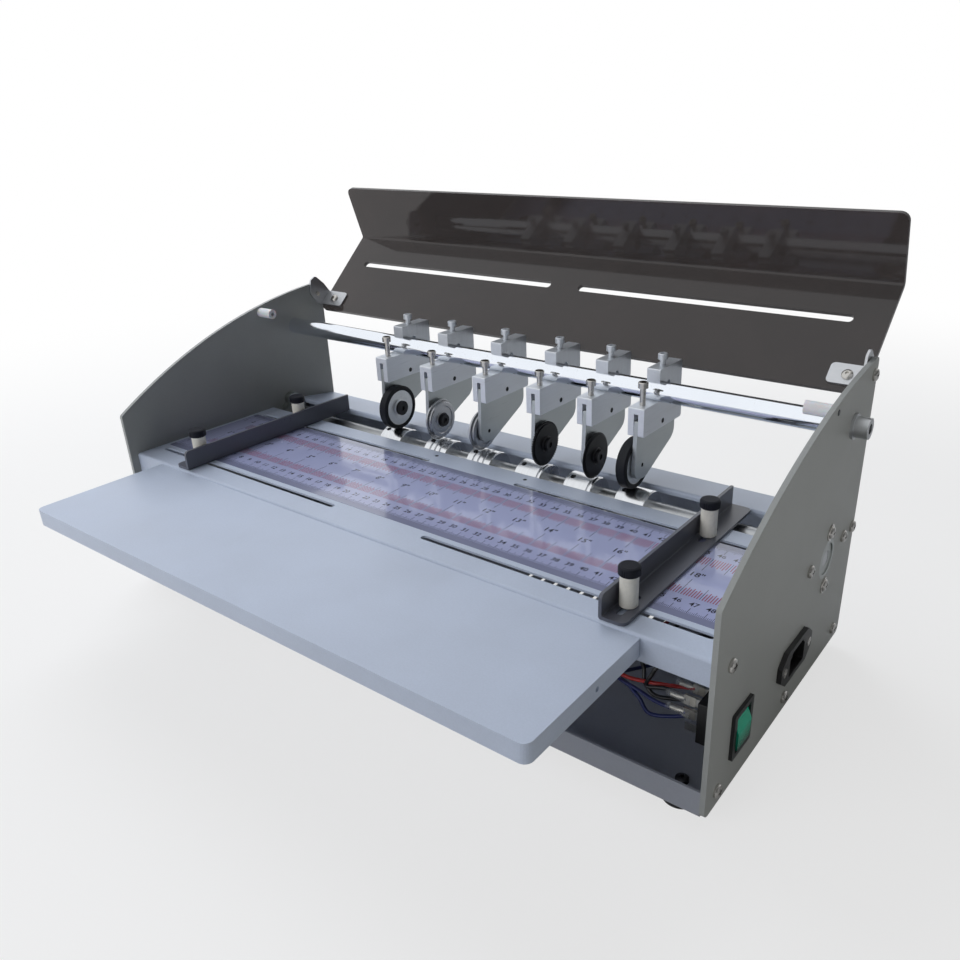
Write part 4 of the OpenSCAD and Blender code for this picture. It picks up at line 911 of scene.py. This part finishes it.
class CREASER_OT_leads(bpy.types.Operator):
    """Runs the insulated leads with their push-on terminals and clear sleeves"""
    bl_idname = "creaser.leads"
    bl_label = "Leads"

    def execute(self, context):
        leads = context.scene.creaser_leads
        radius = leads.radius / MM
        tab = [np.array([OUTER_MM - 29.0, SWITCH_MM[0] + a, SWITCH_MM[1] + b])
               for a in (-5.5, 5.5) for b in (-9.0, 0.0, 9.0)]
        inlet = [np.array([HALF_MM - 24.0, INLET_MM[0] + a, INLET_MM[1] - 1.5]) for a in (7.0, -7.0)]
        motor = np.array([MOTOR_END_MM, SHAFT_Y_MM, MOTOR_TAB_Z_MM])
        short = np.array([-9.0, 0.0, 0.0])
        live = [tab[5], tab[5] + (-11, -2, -2), (197, 41, 49.5), (180, 43, 45.5), (164, 56, 40),
                (160, 90, 34), (168, 150, 30), (172, 190, 24), (60, 200, 20), (-90, 200, 20),
                (-140, 186, 30), motor + (14, 0, 5), motor + (0, 0, 5)]
        neutral = [tab[3], tab[3] + (-12, -3, -5), (199, 39, 29.5), (192, 40, 36), (183, 43, 40),
                   (168, 56, 36), (162, 95, 28), (166, 150, 20), (170, 185, 17), (60, 195, 16),
                   (-90, 195, 16), (-140, 180, 22), motor + (14, 0, -5), motor + (0, 0, -5)]
        return_ = [tab[1], tab[1] + (-12, 2, -3), (201, 39, 40), (190, 40, 42), (178, 43, 41.5),
                   (166, 58, 32), (170, 90, 20), (190, 112, 22), inlet[1] + short, inlet[1]]
        feed_a = [tab[4], tab[4] + (-11, -2, -2), (201, 41, 42), (194, 42, 47), (192, 44, 54),
                  (190, 48, 63), (196, 84, 66), (212, 126, 52), inlet[0] + short, inlet[0]]
        feed_b = [tab[2], tab[2] + (-14, 4, -2), (196, 40, 47), (199, 40, 56), (203, 44, 64),
                  (208, 74, 66), (214, 104, 50), inlet[1] + (-9, 3, 4), inlet[1] + (0, 0, 3)]
        red = moulded("red_lead", leads.live, roughness=0.3, coat=0.3)
        blue = moulded("blue_lead", leads.neutral, roughness=0.3, coat=0.3)
        black = moulded("black_lead", (0.012, 0.012, 0.014), roughness=0.32, coat=0.3)
        first = piece("lead_red", "base", [swept(live, radius)], [red])
        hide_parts("switch_leads")
        piece("leads_blue", "base", [swept(neutral, radius), swept(return_, radius)], [blue])
        piece("leads_black", "base", [swept(feed_a, radius), swept(feed_b, radius)], [black])
        parts = [part for tip in tab[1:] + inlet for part in terminal(tip)]
        piece("lead_terminals", "base", parts, [tinned_brass(), clear_sleeve()])
        return {"FINISHED"}


class CREASER_OT_fasteners(bpy.types.Operator):
    """Finishes the plate screws and adds washers, foot screws, nuts and the table's screws"""
    bl_idname = "creaser.fasteners"
    bl_label = "Fasteners"

    def execute(self, context):
        dress(bright_screw(), "plate_screws")
        dark = []
        parts = []
        for side in (-1, 1):
            for rise in (18.5, -18.5):
                parts.append(turned([(0, 4.1), (0, 5.6), (0.6, 5.6), (0.9, 5.2), (0.9, 4.1)],
                                    (side * OUTER_MM, SHAFT_Y_MM, SHAFT_MM + rise), (side, 0, 0),
                                    ring=True))
            stop_pin = (side * OUTER_MM, 144.0, 192.0)
            dark.append(turned([(0, 1.9), (0.25, 1.7), (0.3, 0.6)], stop_pin, (side, 0, 0), sides=24))
            for y in (19.0, 196.0):
                foot = (side * 231.0, y, 11.5)
                dark.append(turned([(0, 4.0), (2.0, 3.8), (2.8, 2.6), (2.8, 1.2), (1.6, 1.1)],
                                   foot, UP, sides=24))
                dark.append(shank(foot, UP, -8.0, 0))
            dark.append(turned([(-1.6, 1.5), (-0.1, 1.5), (-0.1, 0.8), (-0.9, 0.7)],
                               (side * 42.5, 134.0, DECK_MM), UP, sides=24))
        for x in (-180.0, -60.0, 60.0, 172.0):
            flange = np.array([x, 4.5, DECK_MM - 8.0])
            parts.append(turned([(0, 3.5), (1.2, 3.5), (2.2, 2.4), (2.2, 1.0)], flange, (0, -1, 0),
                                sides=24))
            parts.append(shank(flange, (0, -1, 0), -6.0, 0))
            parts.append(hex_nut(flange + [0, 3.0, 0], (0, 1, 0), 3.0))
        piece("small_screws", "base", parts, [bright_screw()])
        piece("dark_screws", "base", dark, [black_oxide()])
        return {"FINISHED"}


class CREASER_OT_drive(bpy.types.Operator):
    """Finishes the gears, gear motor and bracket, and adds their screws and terminals"""
    bl_idname = "creaser.drive"
    bl_label = "Drive"

    def execute(self, context):
        gear = worked_metal("gear_steel", (0.30, 0.31, 0.32), roughness=0.34)
        dress(gear, "shaft_gear", "motor_pinion")
        motor = moulded("motor_enamel", (0.055, 0.058, 0.062), roughness=0.38)

        def boss(tree, place):
            return in_ring(tree, place, spot(0, SHAFT_Y_MM, MOTOR_SHAFT_MM), 8.3)
        dress(two_tone(motor, boss, (0.5, 0.5, 0.5), 0.3, 0.9), "gear_motor")
        dress(zinc_plate(), "motor_bracket")
        face_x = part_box("motor_bracket")[1].x / MM - 2.0
        parts = []
        for side in (-1, 1):
            at = np.array([face_x, SHAFT_Y_MM + 31 * side, MOTOR_SHAFT_MM - 18.0])
            parts.append(turned([(0, 3.6), (1.4, 3.6), (2.6, 2.4), (2.6, 1.2), (1.6, 1.1)], at,
                                (-1, 0, 0), sides=24))
            parts.append(shank(at, (-1, 0, 0), -9.0, 0.2))
            parts.append(hex_nut(at + [5.0, 0, 0], (1, 0, 0), 2.6))
            parts.append(turned([(0, 3.8), (1.4, 3.8), (2.4, 2.6), (2.4, 1.2)],
                                (face_x - 13.0, SHAFT_Y_MM + 28.0 * side, 13.5), UP, sides=24))
        piece("motor_screws", "base", parts, [bright_screw()])
        tabs = []
        for lift in (-5.0, 5.0):
            z = MOTOR_TAB_Z_MM + lift
            tabs.append(plate(rounded_box(7.0, 4.6, 0.5, 2), 0.8,
                              (MOTOR_END_MM + 2.0, SHAFT_Y_MM + 0.4, z), (1, 0, 0), UP))
            tabs.append(turned([(3.0, 1.9), (10.0, 1.9), (10.4, 1.6)],
                               (MOTOR_END_MM, SHAFT_Y_MM, z), sides=12))
        piece("motor_terminals", "base", tabs, [tinned_brass()])
        return {"FINISHED"}


class CREASER_OT_studio(bpy.types.Operator):
    """Sets the pale floor, the soft lights, the background and the camera"""
    bl_idname = "creaser.studio"
    bl_label = "Studio"

    def execute(self, context):
        studio = context.scene.creaser_studio
        scene = context.scene
        scene.view_settings.view_transform = "Standard"

        line = np.linspace(-6.0, 6.0, 13)
        x, y = np.meshgrid(line, line, indexing="ij")
        points, quads = surface(np.stack([x, y, np.zeros_like(x)], -1))
        mesh = bpy.data.meshes.new("studio_floor")
        mesh.from_pydata(points.tolist(), [], quads)
        floor = put("studio_floor", mesh)
        made, tree, shader, place = new_finish("studio_floor")
        speck = noise(tree, place, 40.0, 2.0)
        feed(tree, shader, Base_Color=blend(tree, speck, tone(studio.floor, 0.995),
                                            tone(studio.floor, 1.005)),
             Roughness=0.9, Specular_IOR_Level=0.2)
        far = vector(tree, "LENGTH", place)["Value"]
        share = ramp(tree, far, 0.45, 1.3, 0.68, 1.0, rise="SMOOTHSTEP")
        white = node(tree, "Emission", Color=(1, 1, 1, 1), Strength=1.0).outputs[0]
        across = vector(tree, "DOT_PRODUCT", place, (0.7, 0.55, 0.0))["Value"]
        lit = ramp(tree, across, -0.2, 0.22, 1.0, 0.0, rise="SMOOTHSTEP")
        seen, glossy = self.seen(tree)
        share = maths(tree, "MULTIPLY", share,
                      maths(tree, "MAXIMUM", seen, maths(tree, "MULTIPLY", glossy, lit)))
        mixed = node(tree, "MixShader", i0=share, i1=shader.outputs[0], i2=white).outputs[0]
        tree.links.new(mixed, tree.nodes["Material Output"].inputs["Surface"])
        mesh.materials.append(made)

        world = bpy.data.worlds.new("studio")
        scene.world = world
        world.use_nodes = True
        tree = world.node_tree
        toward = node(tree, "SeparateXYZ", Vector=node(tree, "TexCoord").outputs["Generated"])
        left = ramp(tree, toward.outputs[0], -0.1, 0.7, 1.0, 0.12, rise="SMOOTHSTEP")
        soft = tree.nodes["Background"]
        soft.inputs["Color"].default_value = (0.93, 0.96, 1.0, 1.0)
        tree.links.new(maths(tree, "MULTIPLY", left, studio.ambient), soft.inputs["Strength"])
        mirrored = node(tree, "Background", Color=(0.96, 0.98, 1, 1), Strength=left).outputs[0]
        white = node(tree, "Background", Color=(1, 1, 1, 1), Strength=1.0).outputs[0]
        seen, glossy = self.seen(tree)
        both = node(tree, "MixShader", i0=glossy, i1=soft.outputs[0], i2=mirrored).outputs[0]
        both = node(tree, "MixShader", i0=seen, i1=both, i2=white).outputs[0]
        tree.links.new(both, tree.nodes["World Output"].inputs["Surface"])

        middle = (0.0, 0.0, 0.1)
        self.lamp("window_light", (-1.05, 0.65, 1.25), middle, 1.3, studio.window,
                  (0.92, 0.95, 1.0))
        self.lamp("front_light", (-0.5, -1.5, 0.9), middle, 1.2, studio.front, (0.96, 0.97, 1.0))
        self.lamp("side_light", (1.1, -0.15, 0.16), (0.25, 0.0, 0.1), 0.3, studio.side,
                  (1.0, 0.99, 0.93))

        camera = bpy.data.cameras.new("camera")
        camera.lens = 31.7055
        camera.sensor_width = 36.0
        camera.shift_x, camera.shift_y = -0.04067, 0.02085
        camera.clip_start = 0.01
        holder = put("camera", camera)
        right = Vector((0.80347, 0.59478, -0.02593))
        ahead = Vector((-0.54823, 0.72220, -0.42175))
        up = right.cross(ahead)
        turn = Matrix((right, up, -ahead)).transposed().to_4x4()
        holder.matrix_world = Matrix.Translation((0.37844, -0.40753, 0.35013)) @ turn
        scene.camera = holder
        return {"FINISHED"}

    @staticmethod
    def seen(tree):
        """1 for rays from the camera or through a clear face, and 1 for rays off a glossy face."""
        path = node(tree, "LightPath").outputs
        straight = maths(tree, "MAXIMUM", path["Is Camera Ray"], path["Is Transmission Ray"])
        return straight, path["Is Glossy Ray"]

    @staticmethod
    def lamp(name, at, aim, size, power, rgb):
        """A square soft light at one point, facing another."""
        light = bpy.data.lights.new(name, "AREA")
        light.shape = "SQUARE"
        light.size = size
        light.energy = power
        light.color = rgb
        holder = put(name, light)
        look = (Vector(aim) - Vector(at)).to_track_quat("-Z", "Y").to_matrix().to_4x4()
        holder.matrix_world = Matrix.Translation(at) @ look
        holder.visible_glossy = False


# ------------------------------------------------------------------ add-on


STEPS = (CREASER_OT_studio, CREASER_OT_sheet_metal, CREASER_OT_ruler, CREASER_OT_shafts,
         CREASER_OT_tools, CREASER_OT_guides, CREASER_OT_hood, CREASER_OT_electrics,
         CREASER_OT_leads, CREASER_OT_fasteners, CREASER_OT_drive)
SETTINGS = {"creaser_paint": CREASER_PG_paint, "creaser_hood": CREASER_PG_hood,
            "creaser_ruler": CREASER_PG_ruler, "creaser_leads": CREASER_PG_leads,
            "creaser_studio": CREASER_PG_studio}


class CREASER_PT_panel(bpy.types.Panel):
    """Sizes, colours and steps of the creasing machine"""
    bl_idname = "CREASER_PT_panel"
    bl_label = "Creasing machine"
    bl_space_type = "VIEW_3D"
    bl_region_type = "UI"
    bl_category = "Creaser"

    def draw(self, context):
        for name, group in SETTINGS.items():
            box = self.layout.box()
            box.label(text=group.__doc__)
            settings = getattr(context.scene, name)
            for key in group.__annotations__:
                box.prop(settings, key)
        for step in STEPS:
            self.layout.operator(step.bl_idname)


def register():
    for name, group in SETTINGS.items():
        bpy.utils.register_class(group)
        setattr(bpy.types.Scene, name, PointerProperty(type=group))
    for cls in (*STEPS, CREASER_PT_panel):
        bpy.utils.register_class(cls)


def unregister():
    for cls in (CREASER_PT_panel, *reversed(STEPS)):
        bpy.utils.unregister_class(cls)
    for name, group in reversed(SETTINGS.items()):
        delattr(bpy.types.Scene, name)
        bpy.utils.unregister_class(group)


def main():
    """Makes every piece in order."""
    register()
    for step in STEPS:
        area, name = step.bl_idname.split(".")
        getattr(getattr(bpy.ops, area), name)()


if __name__ == "__main__":
    main()
